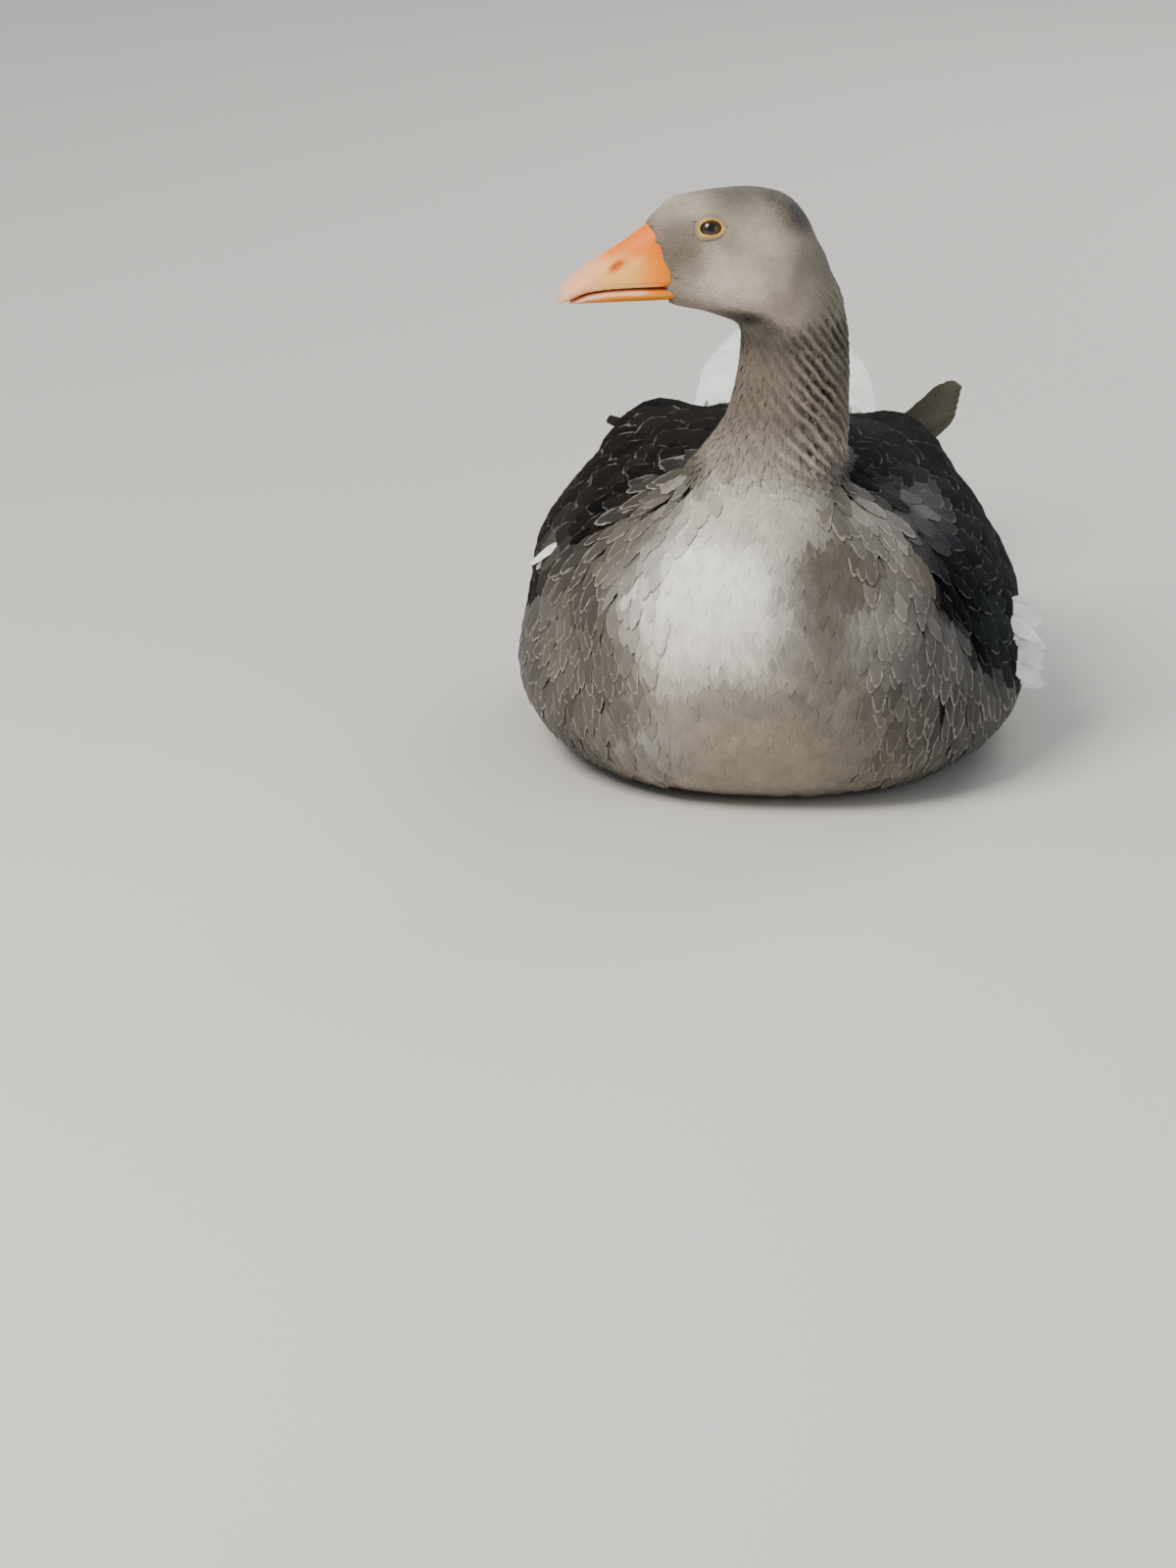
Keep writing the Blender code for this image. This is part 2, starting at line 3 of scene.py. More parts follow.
import bmesh
import bpy
import numpy as np
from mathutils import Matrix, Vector
from mathutils.bvhtree import BVHTree
from mathutils.kdtree import KDTree


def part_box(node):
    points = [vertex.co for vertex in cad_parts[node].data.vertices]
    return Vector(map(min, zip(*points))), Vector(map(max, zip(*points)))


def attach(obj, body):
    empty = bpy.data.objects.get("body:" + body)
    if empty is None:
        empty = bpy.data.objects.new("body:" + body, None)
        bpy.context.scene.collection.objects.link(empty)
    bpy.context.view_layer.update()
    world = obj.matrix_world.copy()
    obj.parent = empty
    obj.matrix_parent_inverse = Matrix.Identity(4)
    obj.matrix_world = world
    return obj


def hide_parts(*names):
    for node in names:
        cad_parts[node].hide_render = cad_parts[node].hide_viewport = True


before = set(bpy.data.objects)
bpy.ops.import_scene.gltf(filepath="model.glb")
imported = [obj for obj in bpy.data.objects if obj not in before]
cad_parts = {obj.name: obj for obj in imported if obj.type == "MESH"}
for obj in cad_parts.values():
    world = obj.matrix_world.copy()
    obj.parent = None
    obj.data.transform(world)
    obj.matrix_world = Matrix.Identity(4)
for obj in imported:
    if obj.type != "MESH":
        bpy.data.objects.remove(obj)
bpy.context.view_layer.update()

print("stage: frame loaded,", len(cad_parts), "nodes")


def linear(code):  # sRGB hex to linear light
    raw = np.array([int(code[i:i + 2], 16) for i in (1, 3, 5)]) / 255
    return np.where(raw <= 0.04045, raw / 12.92, ((raw + 0.055) / 1.055) ** 2.4)


def rgba(code):
    return (*linear(code), 1)


def smoothStep(low, high, value):
    t = np.clip((np.asarray(value, float) - low) / (high - low), 0, 1)
    return t * t * (3 - 2 * t)


def blend(base, other, share):  # rows of numbers mixed by one share for each row
    share = np.asarray(share, float)
    return base + (np.asarray(other) - base) * (share[:, None] if share.ndim else share)


def unit(rows):
    return rows / np.maximum(np.linalg.norm(rows, axis=-1, keepdims=True), 1e-9)


def dot(a, b):
    return (a * b).sum(axis=-1)


def curveThrough(rows, steps):  # a Catmull-Rom curve through rows of numbers
    rows = np.array(rows, float)
    padded = np.vstack([2 * rows[0] - rows[1], rows, 2 * rows[-1] - rows[-2]])
    made = []
    for a, b, c, d in zip(padded, padded[1:], padded[2:], padded[3:]):
        for t in np.arange(steps) / steps:
            bend = (2 * a - 5 * b + 4 * c - d) * t**2 + (3 * b - a - 3 * c + d) * t**3
            made.append((2 * b + (c - a) * t + bend) / 2)
    return np.array([*made, rows[-1]])


def valueNoise(points, size, seed):  # smooth noise from -1 to 1, with cells of this size in metres
    rng = np.random.default_rng(seed)
    table = rng.uniform(-1, 1, 4096)
    scaled = np.asarray(points) / size
    low = np.floor(scaled).astype(int)
    part = scaled - low
    part = part * part * (3 - 2 * part)
    total = np.zeros(len(scaled))
    for corner in np.ndindex(2, 2, 2):
        cell = low + corner
        key = (cell[:, 0] * 73 + cell[:, 1] * 179 + cell[:, 2] * 283) % 4096
        weight = np.prod(np.where(corner, part, 1 - part), axis=1)
        total += table[key] * weight
    return total


def addNode(tree, kind, links=None, **settings):  # one node with its settings, values and links
    node = tree.nodes.new(kind)
    for key, value in settings.items():
        setattr(node, key, value)
    for socket, source in (links or {}).items():
        if isinstance(source, bpy.types.NodeSocket):
            tree.links.new(source, node.inputs[socket])
        else:
            node.inputs[socket].default_value = source
    return node


def addRows(tree, known, rows):  # nodes in turn: name, kind, work, inputs; a text input is an earlier name
    for name, kind, work, *inputs in rows:
        settings, sockets, out = {}, range(len(inputs)), 0
        if kind == "Mix":
            first = {"FLOAT": 2, "VECTOR": 4}.get(work, 6)
            sockets, out = (0, first, first + 1), first // 2 - 1
            settings = {"data_type": work} if first < 6 else {"data_type": "RGBA", "blend_type": work}
        elif work:
            settings = {"interpolation_type" if kind == "MapRange" else "operation": work}
        links = {socket: known[value] if isinstance(value, str) else value
                 for socket, value in zip(sockets, inputs) if value is not None}
        made = addNode(tree, "ShaderNode" + kind, links, **settings).outputs
        if kind == "SeparateXYZ":
            known.update({name + axis: made[axis] for axis in "XYZ"})
        else:
            known[name] = made["Value" if work == "LENGTH" else out]


def newMaterial(name, values):
    material = bpy.data.materials.new(name)
    material.use_nodes = True
    tree = material.node_tree
    shader = tree.nodes["Principled BSDF"]
    for label, value in values.items():
        shader.inputs[label].default_value = value
    return material, tree, shader


def paintShader(tree, shader, colour, height, strength, depth):  # colour and fine relief, in metres
    tree.links.new(colour, shader.inputs["Base Color"])
    bump = addNode(tree, "ShaderNodeBump", {"Height": height, "Strength": strength, "Distance": depth})
    tree.links.new(bump.outputs[0], shader.inputs["Normal"])


def setAttribute(mesh, name, kind, values):
    field = {"FLOAT_VECTOR": "vector", "FLOAT_COLOR": "color"}.get(kind, "value")
    if kind == "FLOAT_COLOR":
        values = np.c_[values, np.ones(len(values))]
    values = np.ascontiguousarray(values, np.int32 if kind == "INT" else np.float32)
    mesh.attributes.new(name, kind, "POINT").data.foreach_set(field, values.ravel())


def inScene(name, data):
    obj = bpy.data.objects.new(name, data)
    bpy.context.scene.collection.objects.link(obj)
    return obj


def meshObject(name, points, faces, material=None):
    mesh = bpy.data.meshes.new(name)
    mesh.from_pydata([tuple(p) for p in points], [], [tuple(int(i) for i in f) for f in faces])
    mesh.validate()
    mesh.polygons.foreach_set("use_smooth", [True] * len(mesh.polygons))
    if material:
        mesh.materials.append(material)
    return inScene(name, mesh)


def faceOutward(mesh, merge=False):
    bm = bmesh.new()
    bm.from_mesh(mesh)
    if merge:
        bmesh.ops.remove_doubles(bm, verts=bm.verts, dist=1e-6)
    bmesh.ops.recalc_face_normals(bm, faces=bm.faces)
    bm.to_mesh(mesh)
    bm.free()


def tubeFaces(rings, around, start=0):  # the quads round a tube of rings, and its two end caps
    faces = [(start + r * around + k, start + r * around + (k + 1) % around,
              start + (r + 1) * around + (k + 1) % around, start + (r + 1) * around + k)
             for r in range(rings - 1) for k in range(around)]
    caps = (tuple(start + k for k in range(around - 1, -1, -1)),
            tuple(start + (rings - 1) * around + k for k in range(around)))
    return [*faces, *caps]


def crispRims(mesh, onTop):  # marks the edges where a vane's upper face meets its under face
    sides = {}
    for face in mesh.polygons:
        for key in face.edge_keys:
            sides.setdefault(key, set()).add(onTop(face.vertices))
    mesh.edges.foreach_set("use_edge_sharp", [len(sides[edge.key]) > 1 for edge in mesh.edges])


def readPoints(mesh, source="vertices", field="co"):
    items = getattr(mesh, source)
    values = np.empty(len(items) * 3, np.float32)
    items.foreach_get(field, values)
    return values.reshape(-1, 3).astype(float)


def movePoints(mesh, points):
    mesh.vertices.foreach_set("co", points.astype(np.float32).ravel())
    mesh.update()


def settled(obj):  # the object's mesh with its modifiers applied, and the modifiers gone
    graph = bpy.context.evaluated_depsgraph_get()
    mesh = bpy.data.meshes.new_from_object(obj.evaluated_get(graph))
    obj.modifiers.clear()
    old, obj.data = obj.data, mesh
    mesh.name = obj.name
    if not old.users:
        bpy.data.meshes.remove(old)
    return obj


def smoothed(obj, rounds, voxel=0.0):  # remeshed first where a voxel size is given
    if voxel:
        remesh = obj.modifiers.new("Remesh", "REMESH")
        remesh.mode = "VOXEL"
        remesh.voxel_size = voxel
    smooth = obj.modifiers.new("Smooth", "SMOOTH")
    smooth.factor = 0.5
    smooth.iterations = rounds
    settled(obj)


def finishMesh(mesh, material):  # smooth shading and one material
    mesh.polygons.foreach_set("use_smooth", [True] * len(mesh.polygons))
    mesh.materials.clear()
    mesh.materials.append(material)


def joinedNodes(name, grows, tailCut=0.0):  # copies of CAD nodes in one mesh, each grown by its own amount
    whole = bmesh.new()
    for node, grow in grows.items():
        part = bmesh.new()
        part.from_mesh(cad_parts[node].data)
        bmesh.ops.remove_doubles(part, verts=part.verts, dist=1e-6)
        if node == "tail":  # only the fleshy root of the tail
            bmesh.ops.bisect_plane(part, geom=part.verts[:] + part.edges[:] + part.faces[:],
                                   plane_co=(0, tailCut, 0), plane_no=(0, 1, 0), clear_outer=True)
            bmesh.ops.edgeloop_fill(part, edges=[e for e in part.edges if e.is_boundary])
        part.normal_update()
        for vert in part.verts:
            vert.co += vert.normal * grow
        mesh = bpy.data.meshes.new("part")
        part.to_mesh(mesh)
        part.free()
        whole.from_mesh(mesh)
        bpy.data.meshes.remove(mesh)
    mesh = bpy.data.meshes.new(name)
    whole.to_mesh(mesh)
    whole.free()
    return inScene(name, mesh)


def putTogether(piece, slot, *nodes):
    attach(piece, "root")
    if nodes:
        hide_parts(*nodes)


bothSides = ((1, "left"), (-1, "right"))


def boxMiddle(node):
    low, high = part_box(node)
    return (low + high) / 2


# camera, floor and lights
studio = {
    "azimuth": 2, "elevation": 17, "distance": 4.2, "lens": 166.32,
    "target": (0, -0.13, 0), "slide": (-0.10625, -0.01705),
    "floor": "#d9d6d0", "world": "#e9eef4", "worldPower": 0.50,
    "keyPower": 84, "fillPower": 10, "rimPower": 27,
}

azimuth, elevation = math.radians(studio["azimuth"]), math.radians(studio["elevation"])
back = Vector((math.sin(azimuth) * math.cos(elevation),
               -math.cos(azimuth) * math.cos(elevation), math.sin(elevation)))
right = Vector((math.cos(azimuth), math.sin(azimuth), 0))
up = back.cross(right)
cameraData = bpy.data.cameras.new("camera")
cameraData.lens = studio["lens"]
camera = inScene("camera", cameraData)
spot = Vector(studio["target"]) + back * studio["distance"]
spot += right * studio["slide"][0] + up * studio["slide"][1]
turn = camera.matrix_world.to_3x3()
for row in range(3):
    turn[row] = (right[row], up[row], back[row])
camera.matrix_world = turn.to_4x4()
camera.location = spot
bpy.context.scene.camera = camera

# Seamless studio paper is matt and coated: soft, with no gloss.
floorPaper, _, _ = newMaterial("seamless studio paper", {
    "Base Color": rgba(studio["floor"]), "Roughness": 0.9, "Specular IOR Level": 0.2})
floor = meshObject("floor", [(-4, -4, 0), (4, -4, 0), (4, 7, 0), (-4, 7, 0)], [(0, 1, 2, 3)], floorPaper)

world = bpy.data.worlds.new("studio air")
bpy.context.scene.world = world
world.use_nodes = True
world.node_tree.nodes["Background"].inputs["Color"].default_value = rgba(studio["world"])
world.node_tree.nodes["Background"].inputs["Strength"].default_value = studio["worldPower"]


def areaLight(name, place, size, power, colour):
    data = bpy.data.lights.new(name, "AREA")
    data.size = size
    data.energy = power
    data.color = colour
    lamp = inScene(name, data)
    lamp.location = place
    aim = Vector((0, -0.05, 0.12)) - Vector(place)
    lamp.rotation_euler = aim.to_track_quat("-Z", "Y").to_euler()


areaLight("key", (-1.2, -1.5, 2.1), 1.1, studio["keyPower"], (1, 0.97, 0.92))
areaLight("fill", (2.2, -1.6, 0.9), 1.6, studio["fillPower"], (0.92, 0.96, 1))
areaLight("rim", (0.9, 1.8, 1.6), 1.2, studio["rimPower"], (1, 0.98, 0.95))

# the head's own frame
eyeLeft, eyeRight = boxMiddle("eye_left"), boxMiddle("eye_right")
headLeft = np.array((eyeLeft - eyeRight).normalized())
headUp = np.array((0.0, 0.0, 1.0))
headForward = np.cross(headLeft, headUp)
headTurn = np.array([headForward, headLeft, headUp])  # rows: forward, left, up
headFrame = {"ahead": 0.0272, "drop": 0.0262}  # from between the eyes to the bill's base
headAt = np.array((eyeLeft + eyeRight) / 2) + headForward * headFrame["ahead"] - headUp * headFrame["drop"]


def toHead(points):
    return (np.asarray(points) - headAt) @ headTurn.T


def fromHead(points):
    return headAt + np.asarray(points) @ headTurn


eyeLook = {
    "radius": 0.0072, "rings": 30, "around": 48, "ahead": 0.0040, "drop": 0.0018, "outward": (0.934, 0.356),
    "lids": (0.0088, 0.0070),
}
eyeCentres = np.array([eyeLeft, eyeRight]) + eyeLook["ahead"] * headForward - (0, 0, eyeLook["drop"])


def nodeTree(*names):  # a search tree over the CAD nodes' faces
    points, faces = [], []
    for name in names:
        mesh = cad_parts[name].data
        start = len(points)
        points += [v.co.copy() for v in mesh.vertices]
        faces += [[start + i for i in face.vertices] for face in mesh.polygons]
    return BVHTree.FromPolygons(points, faces)


def distanceTo(tree, points, most):
    found = np.full(len(points), most)
    for k, point in enumerate(points):
        hit = tree.find_nearest(point, most)
        if hit[0] is not None:
            found[k] = hit[3]
    return found


billTree = nodeTree("bill_upper", "bill_lower")

# markings of skin and coat, with some painted light and shade
neckAxis = np.array((0.010, -0.184))  # the upper neck stands nearly upright here
tones = {
    "taupe": "#897e70", "breastGrey": "#9b9387", "breastSide": "#6b6358",
    # The back and flank tones for the goose's left side are darker, bluer and greyer as painted shade, away from
    # the key light.
    "bellyBrown": "#8a7f6f", "darkBrown": "#15110f", "shadedBlueBlack": "#07080a", "backBrown": "#231e1a",
    "shadedSlate": "#2b2d31", "white": "#efefeb", "flankBrown": "#4e483f", "shadedFlankGrey": "#3f3e3c",
    # The tone for the top of the neck is painted shade under the head.
    "neckFront": "#675e53", "neckRear": "#655e52", "neckBase": "#93897c", "neckTop": "#423c33",
    "neckShadow": "#020303", "napeBand": "#625d52",
}
tone = {name: linear(code) for name, code in tones.items()}


def between(low, high, share):  # two tones mixed by one share for each row
    return blend(np.tile(tone[low], (len(share), 1)), tone[high], share)


def aroundNeck(points):  # the angle round the upper neck's axis, and the distance from it
    east, south = points[:, 0] - neckAxis[0], neckAxis[1] - points[:, 1]
    return np.arctan2(east, south), np.hypot(east, south)


headMarks = (  # place in the head's frame and size in metres, colour, strength
    ((0.004, 0.0, 0.000), (0.014, 0.030, 0.030), "#746a5b", 0.85),   # edge of the bill
    ((-0.010, 0.0, 0.038), (0.020, 0.024, 0.014), "#aca092", 0.90),  # forehead
    ((-0.040, 0.0, 0.047), (0.024, 0.030, 0.012), "#605a50", 0.95),  # crown
    ((-0.036, 0.0, -0.006), (0.026, 0.045, 0.017), "#cdbdac", 1.00),  # cheek
    ((-0.052, 0.0, 0.016), (0.018, 0.045, 0.016), "#b2a696", 0.80),  # behind the eye
    ((-0.024, 0.0, 0.010), (0.010, 0.045, 0.008), "#b8aa99", 0.70),  # under the eye
    ((-0.008, 0.0, 0.012), (0.012, 0.034, 0.018), "#655a4d", 0.80),  # lore
    ((-0.014, 0.0, -0.020), (0.022, 0.024, 0.008), "#8d8274", 0.80),  # chin
    ((-0.050, 0.0, -0.044), (0.026, 0.050, 0.012), "#3f3a32", 1.00),  # throat, darkened as painted shade under the head
    ((-0.036, 0.0, -0.0235), (0.012, 0.050, 0.0042), "#4a443b", 0.80),  # painted shadow under the jaw, here and on the next two lines
    ((-0.045, 0.0, -0.0265), (0.011, 0.050, 0.0050), "#231f1a", 1.0),
    ((-0.057, 0.0, -0.0310), (0.010, 0.050, 0.0050), "#3b362f", 0.85),
    ((-0.078, 0.0, 0.036), (0.017, 0.055, 0.014), "#181612", 1.00),  # hind crown
    ((-0.068, 0.0, 0.046), (0.016, 0.040, 0.009), "#35322b", 0.85),
    ((-0.090, 0.0, 0.004), (0.012, 0.030, 0.026), "#645e54", 0.85),  # nape
)
bodyMarks = (  # place and size in metres, colour, strength
    ((-0.041, -0.254, 0.133), (0.047, 0.050, 0.037), "#f8f5ee", 1.0),   # bright breast, here and on the next line: pale plumage with painted light where the key light falls
    ((-0.036, -0.268, 0.100), (0.046, 0.050, 0.030), "#e2dcd1", 0.6),
    ((-0.004, -0.268, 0.067), (0.055, 0.045, 0.024), "#81786a", 0.85),
    ((0.038, -0.250, 0.140), (0.030, 0.050, 0.050), "#484239", 0.88),    # taupe left of the breast; this and the next five marks, all but the pale one, are partly the taupe side and partly painted shade on the side away from the key light
    ((0.056, -0.252, 0.096), (0.030, 0.040, 0.036), "#6c665f", 0.7),
    ((0.064, -0.249, 0.112), (0.018, 0.030, 0.018), "#a8a49c", 0.6),
    ((0.092, -0.232, 0.085), (0.030, 0.045, 0.036), "#5d5b5a", 0.9),
    ((0.104, -0.222, 0.048), (0.034, 0.050, 0.024), "#4a4947", 0.95),
    ((0.056, -0.250, 0.046), (0.036, 0.046, 0.030), "#5f594f", 0.6),
    ((-0.024, -0.262, 0.036), (0.048, 0.050, 0.022), "#9a8d7d", 0.9),   # brown lower breast
    ((-0.075, -0.246, 0.040), (0.026, 0.034, 0.019), "#97938b", 0.85),
    ((-0.096, -0.230, 0.080), (0.024, 0.044, 0.034), "#585247", 0.85),
    ((-0.108, -0.198, 0.120), (0.022, 0.040, 0.030), "#433d35", 0.85),
    ((-0.122, -0.196, 0.084), (0.014, 0.030, 0.026), "#7a7469", 0.6),
    ((-0.078, -0.208, 0.152), (0.022, 0.026, 0.022), "#5d554b", 0.85),   # right shoulder
    ((0.062, -0.212, 0.160), (0.020, 0.020, 0.018), "#86837d", 0.8),    # left shoulder patch
    ((-0.012, -0.236, 0.172), (0.034, 0.030, 0.016), "#b9b4a6", 0.8),   # foot of the neck
)
wingMarks = (  # marks among the dark feathers, as above: the first is a painted highlight on the left wing by the shoulder, the rest paler feathers
    ((0.084, -0.170, 0.163), (0.018, 0.034, 0.012), "#7a7979", 0.38),
    ((0.129, -0.168, 0.092), (0.016, 0.030, 0.020), "#23292a", 0.70),
    ((-0.123, -0.138, 0.124), (0.014, 0.026, 0.016), "#68625a", 0.34),
)


def softMarks(colours, points, marks, ragged):
    stray = 1 + ragged * (valueNoise(points, 0.008, 37) - 0.5)
    for place, size, code, strength in marks:
        away = np.linalg.norm((points - np.array(place)) / np.array(size), axis=1) * stray
        colours = blend(colours, linear(code), strength * (1 - smoothStep(0.35, 1.5, away)))
    return colours


def darkness(points):  # 1 on the dark back and wings, 0 on the breast and flanks
    x, y, z = points.T
    leftEdge = np.interp(z, (0.03, 0.045, 0.052, 0.076, 0.115, 0.147, 0.166, 0.186, 0.2),
                         (0.02, -0.06, -0.145, -0.200, -0.220, -0.212, -0.200, -0.200, -0.165))
    rightEdge = np.interp(z, (0.04, 0.06, 0.085, 0.106, 0.132, 0.153, 0.173, 0.187, 0.2),
                          (0.02, -0.05, -0.115, -0.156, -0.182, -0.190, -0.178, -0.172, -0.150))
    edge = np.where(x > 0, leftEdge, rightEdge)
    return smoothStep(-0.008, 0.010, y - edge + 0.006 * valueNoise(points, 0.02, 3))


def whiteness(points):  # 1 on the vent, rump and tail
    y, z = points[:, 1], points[:, 2]
    rear = smoothStep(0.085, 0.125, y - 0.25 * np.clip(z - 0.12, 0, 1) + 0.15 * np.clip(0.06 - z, 0, 1))
    vent = smoothStep(-0.010, 0.030, y + 0.02 * (valueNoise(points, 0.02, 35) - 0.5))
    return np.maximum(rear, vent * smoothStep(0.086, 0.050, z))


def headShare(points):
    ahead, _, above = toHead(points).T
    return smoothStep(-0.050, -0.029, above + 0.15 * np.clip(ahead + 0.03, -1, 1))


def neckShare(points):
    return smoothStep(0.186, 0.206, points[:, 2]) * smoothStep(0.075, 0.05, aroundNeck(points)[1])


def plumage(points):  # linear colour of the feathers at these places, with some painted light and shade
    points = np.asarray(points, float)
    x, y, z = points.T
    leftward = smoothStep(-0.01, 0.05, x)
    colours = between("breastGrey", "breastSide", smoothStep(0.045, 0.105, np.abs(x + 0.008)))
    colours = blend(colours, tone["bellyBrown"], 0.7 * smoothStep(0.06, 0.015, z))
    # the goose's left flank is greyer and darker: painted shade away from the key light
    flankTone = between("flankBrown", "shadedFlankGrey", smoothStep(0, 0.05, x))
    colours = blend(colours, flankTone, smoothStep(-0.235, -0.200, y))
    colours = softMarks(colours, points, bodyMarks, 0.28)
    # the goose's left back is bluer and darker: painted shade away from the key light
    backTone, backPatch = between("darkBrown", "shadedBlueBlack", leftward), between("backBrown", "shadedSlate", leftward)
    backTone = blend(backTone, backPatch, 0.4 + 0.6 * valueNoise(points, 0.03, 9))
    shadow = 1 - smoothStep(0.5, 1.4, np.hypot((x - 0.045) / 0.040, (y + 0.150) / 0.045))
    backTone = blend(backTone, tone["neckShadow"], shadow * smoothStep(0.15, 0.17, z))
    backTone = softMarks(backTone, points, wingMarks, 0.28)
    colours = blend(colours, backTone, darkness(points))
    colours = blend(colours, tone["white"], whiteness(points))
    neckTone = between("neckFront", "neckRear", smoothStep(0.1, 1.4, aroundNeck(points)[0]))
    neckTone = blend(neckTone, tone["neckBase"], smoothStep(0.225, 0.195, z))
    # the top of the neck darkens towards the head: painted shade under the head
    neckTone = blend(neckTone, tone["neckTop"], 0.9 * smoothStep(0.242, 0.268, z))
    colours = blend(colours, neckTone, neckShare(points))
    headTone = softMarks(np.tile(tone["taupe"], (len(points), 1)), toHead(points), headMarks, 0.10)
    colours = blend(colours, headTone, headShare(points))
    nape = smoothStep(0.012, 0.022, x) * smoothStep(0.30, 0.285, z) * smoothStep(0.235, 0.25, z)
    return blend(colours, tone["napeBand"], 0.6 * nape)


eyeFrames = []
for centre, (side, _) in zip(eyeCentres, bothSides):
    out = unit(fromHead(np.array((0.0, side * eyeLook["outward"][0], eyeLook["outward"][1]))) - headAt)
    eyeFrames.append((np.array(centre), out, headForward, np.cross(headForward, out) * side))


def lidGap(points):  # below 1 inside the outline of an eye's lids
    gap = np.full(len(points), 9.0)
    for centre, out, forward, upward in eyeFrames:
        away = points - centre
        near = dot(away, out) > 0
        a, b = dot(away, forward), dot(away, upward)
        gap = np.where(near, np.minimum(gap, np.hypot(a / eyeLook["lids"][0], b / eyeLook["lids"][1])), gap)
    return gap


# skin
skinLook = {
    "voxel": 0.0026, "overlap": 0.0007, "rounds": 8,
    "headDepth": 0.0017, "neckDepth": 0.0042, "bodyDepth": 0.0085,
    "eyeInset": 0.0011, "lidRoom": 0.0030, "tailCut": 0.172, "floorGap": 0.004,
}
fleshNodes = ("trunk", "neck_lower", "neck_upper", "head", "wing_left", "wing_right")


def coatDepth(points, billGap):
    neck = smoothStep(0.185, 0.215, points[:, 2])
    depth = skinLook["bodyDepth"] + (skinLook["neckDepth"] - skinLook["bodyDepth"]) * neck
    depth = depth + (skinLook["headDepth"] - depth) * headShare(points)
    nearBill = smoothStep(0.0008, 0.008, billGap)
    eyeGap = np.min(np.linalg.norm(points[:, None] - eyeCentres, axis=2), axis=1)
    nearEye = smoothStep(0.0085, 0.013, eyeGap)
    return depth * (0.25 + 0.75 * np.minimum(nearBill, nearEye))


def trimmed(points):  # how far the body under its coat sits inside the first outline
    x, y, z = points.T
    sides = 0.0035 * smoothStep(0.07, 0.12, x) * smoothStep(0.03, 0.07, z) * smoothStep(0.17, 0.11, z)
    rightSide = 0.0035 - 0.0068 * smoothStep(0.085, 0.115, z)
    sides += smoothStep(0.055, 0.11, -x) * smoothStep(0.03, 0.07, z) * rightSide
    offNeck = smoothStep(0.040, 0.055, aroundNeck(points)[1])
    back = smoothStep(0.14, 0.18, z) * smoothStep(-0.19, -0.15, y) * offNeck
    back = back * (0.003 + 0.004 * smoothStep(0, 0.03, x))
    ahead, _, above = toHead(points).T
    crown = 0.0018 * smoothStep(0.034, 0.046, above) * smoothStep(-0.075, -0.055, ahead)
    nape = 0.0022 * smoothStep(-0.066, -0.080, ahead) * smoothStep(0.285, 0.300, z) * smoothStep(0.326, 0.306, z)
    crown = np.maximum(crown, nape)
    return np.where(sides < 0, sides, np.maximum(np.maximum(sides, back), crown))


grows = {name: skinLook["overlap"] for name in (*fleshNodes, "tail")}
grows.update({name: -skinLook["eyeInset"] for name in ("eye_left", "eye_right")})
skin = joinedNodes("skin", grows, skinLook["tailCut"])
smoothed(skin, skinLook["rounds"], skinLook["voxel"])
outer = readPoints(skin.data)
outerNormals = readPoints(skin.data, "vertex_normals", "vector")
billGap = np.full(len(outer), 1.0)
nearHead = np.nonzero(toHead(outer)[:, 0] > -0.03)[0]
nearHead = nearHead[outer[nearHead, 2] > 0.26]
billGap[nearHead] = distanceTo(billTree, outer[nearHead], 0.01)
depth = coatDepth(outer, billGap)
sunken = skinLook["lidRoom"] * smoothStep(1.0, 0.7, lidGap(outer))  # room for the eyeballs behind their lids
inner = outer - outerNormals * (depth + trimmed(outer) + sunken)[:, None]
inner[:, 2] = np.maximum(inner[:, 2], skinLook["floorGap"])
movePoints(skin.data, inner)
smoothed(skin, 4)
skinPoints = readPoints(skin.data)
skinNormals = readPoints(skin.data, "vertex_normals", "vector")
setAttribute(skin.data, "loft", "FLOAT_VECTOR", skinNormals * depth[:, None])
setAttribute(skin.data, "plumage", "FLOAT_COLOR", plumage(skinPoints + skinNormals * depth[:, None]))

# Down over skin: short soft barbules with no vanes, so it is dull and slightly darker than the coat.
downSkin, tree, shader = newMaterial("goose down over skin", {"Roughness": 0.9, "Specular IOR Level": 0.15})
where = addNode(tree, "ShaderNodeTexCoord").outputs["Object"]
known = {"colour": addNode(tree, "ShaderNodeAttribute", attribute_name="plumage").outputs["Color"]}
known["fluff"] = addNode(tree, "ShaderNodeTexNoise",
                         {"Vector": where, "Scale": 1 / 0.0015, "Detail": 3.0}).outputs["Fac"]
addRows(tree, known, (
    ("dim", "MapRange", None, "fluff", 0.3, 0.7, 0.85, 1.1),
    ("colour", "Mix", "MULTIPLY", 1.0, "colour", "dim"),
))
paintShader(tree, shader, known["colour"], known["fluff"], 0.5, 0.0006)
finishMesh(skin.data, downSkin)
putTogether(skin, "plumage_taupe", *fleshNodes)

skin.data.calc_loop_triangles()
triangleCount = len(skin.data.loop_triangles)
corners = np.empty(triangleCount * 3, np.int32)
skin.data.loop_triangles.foreach_get("vertices", corners)
corners = corners.reshape(-1, 3)
cornerPoints = skinPoints[corners]
triangleAreas = np.linalg.norm(np.cross(cornerPoints[:, 1] - cornerPoints[:, 0],
                                        cornerPoints[:, 2] - cornerPoints[:, 0]), axis=1) / 2
triangleMiddles = cornerPoints.mean(axis=1)
skinTree = BVHTree.FromPolygons([Vector(p) for p in skinPoints], corners.tolist())
print("stage: skin,", len(skinPoints), "points,", triangleCount, "triangles, area", round(triangleAreas.sum(), 3))

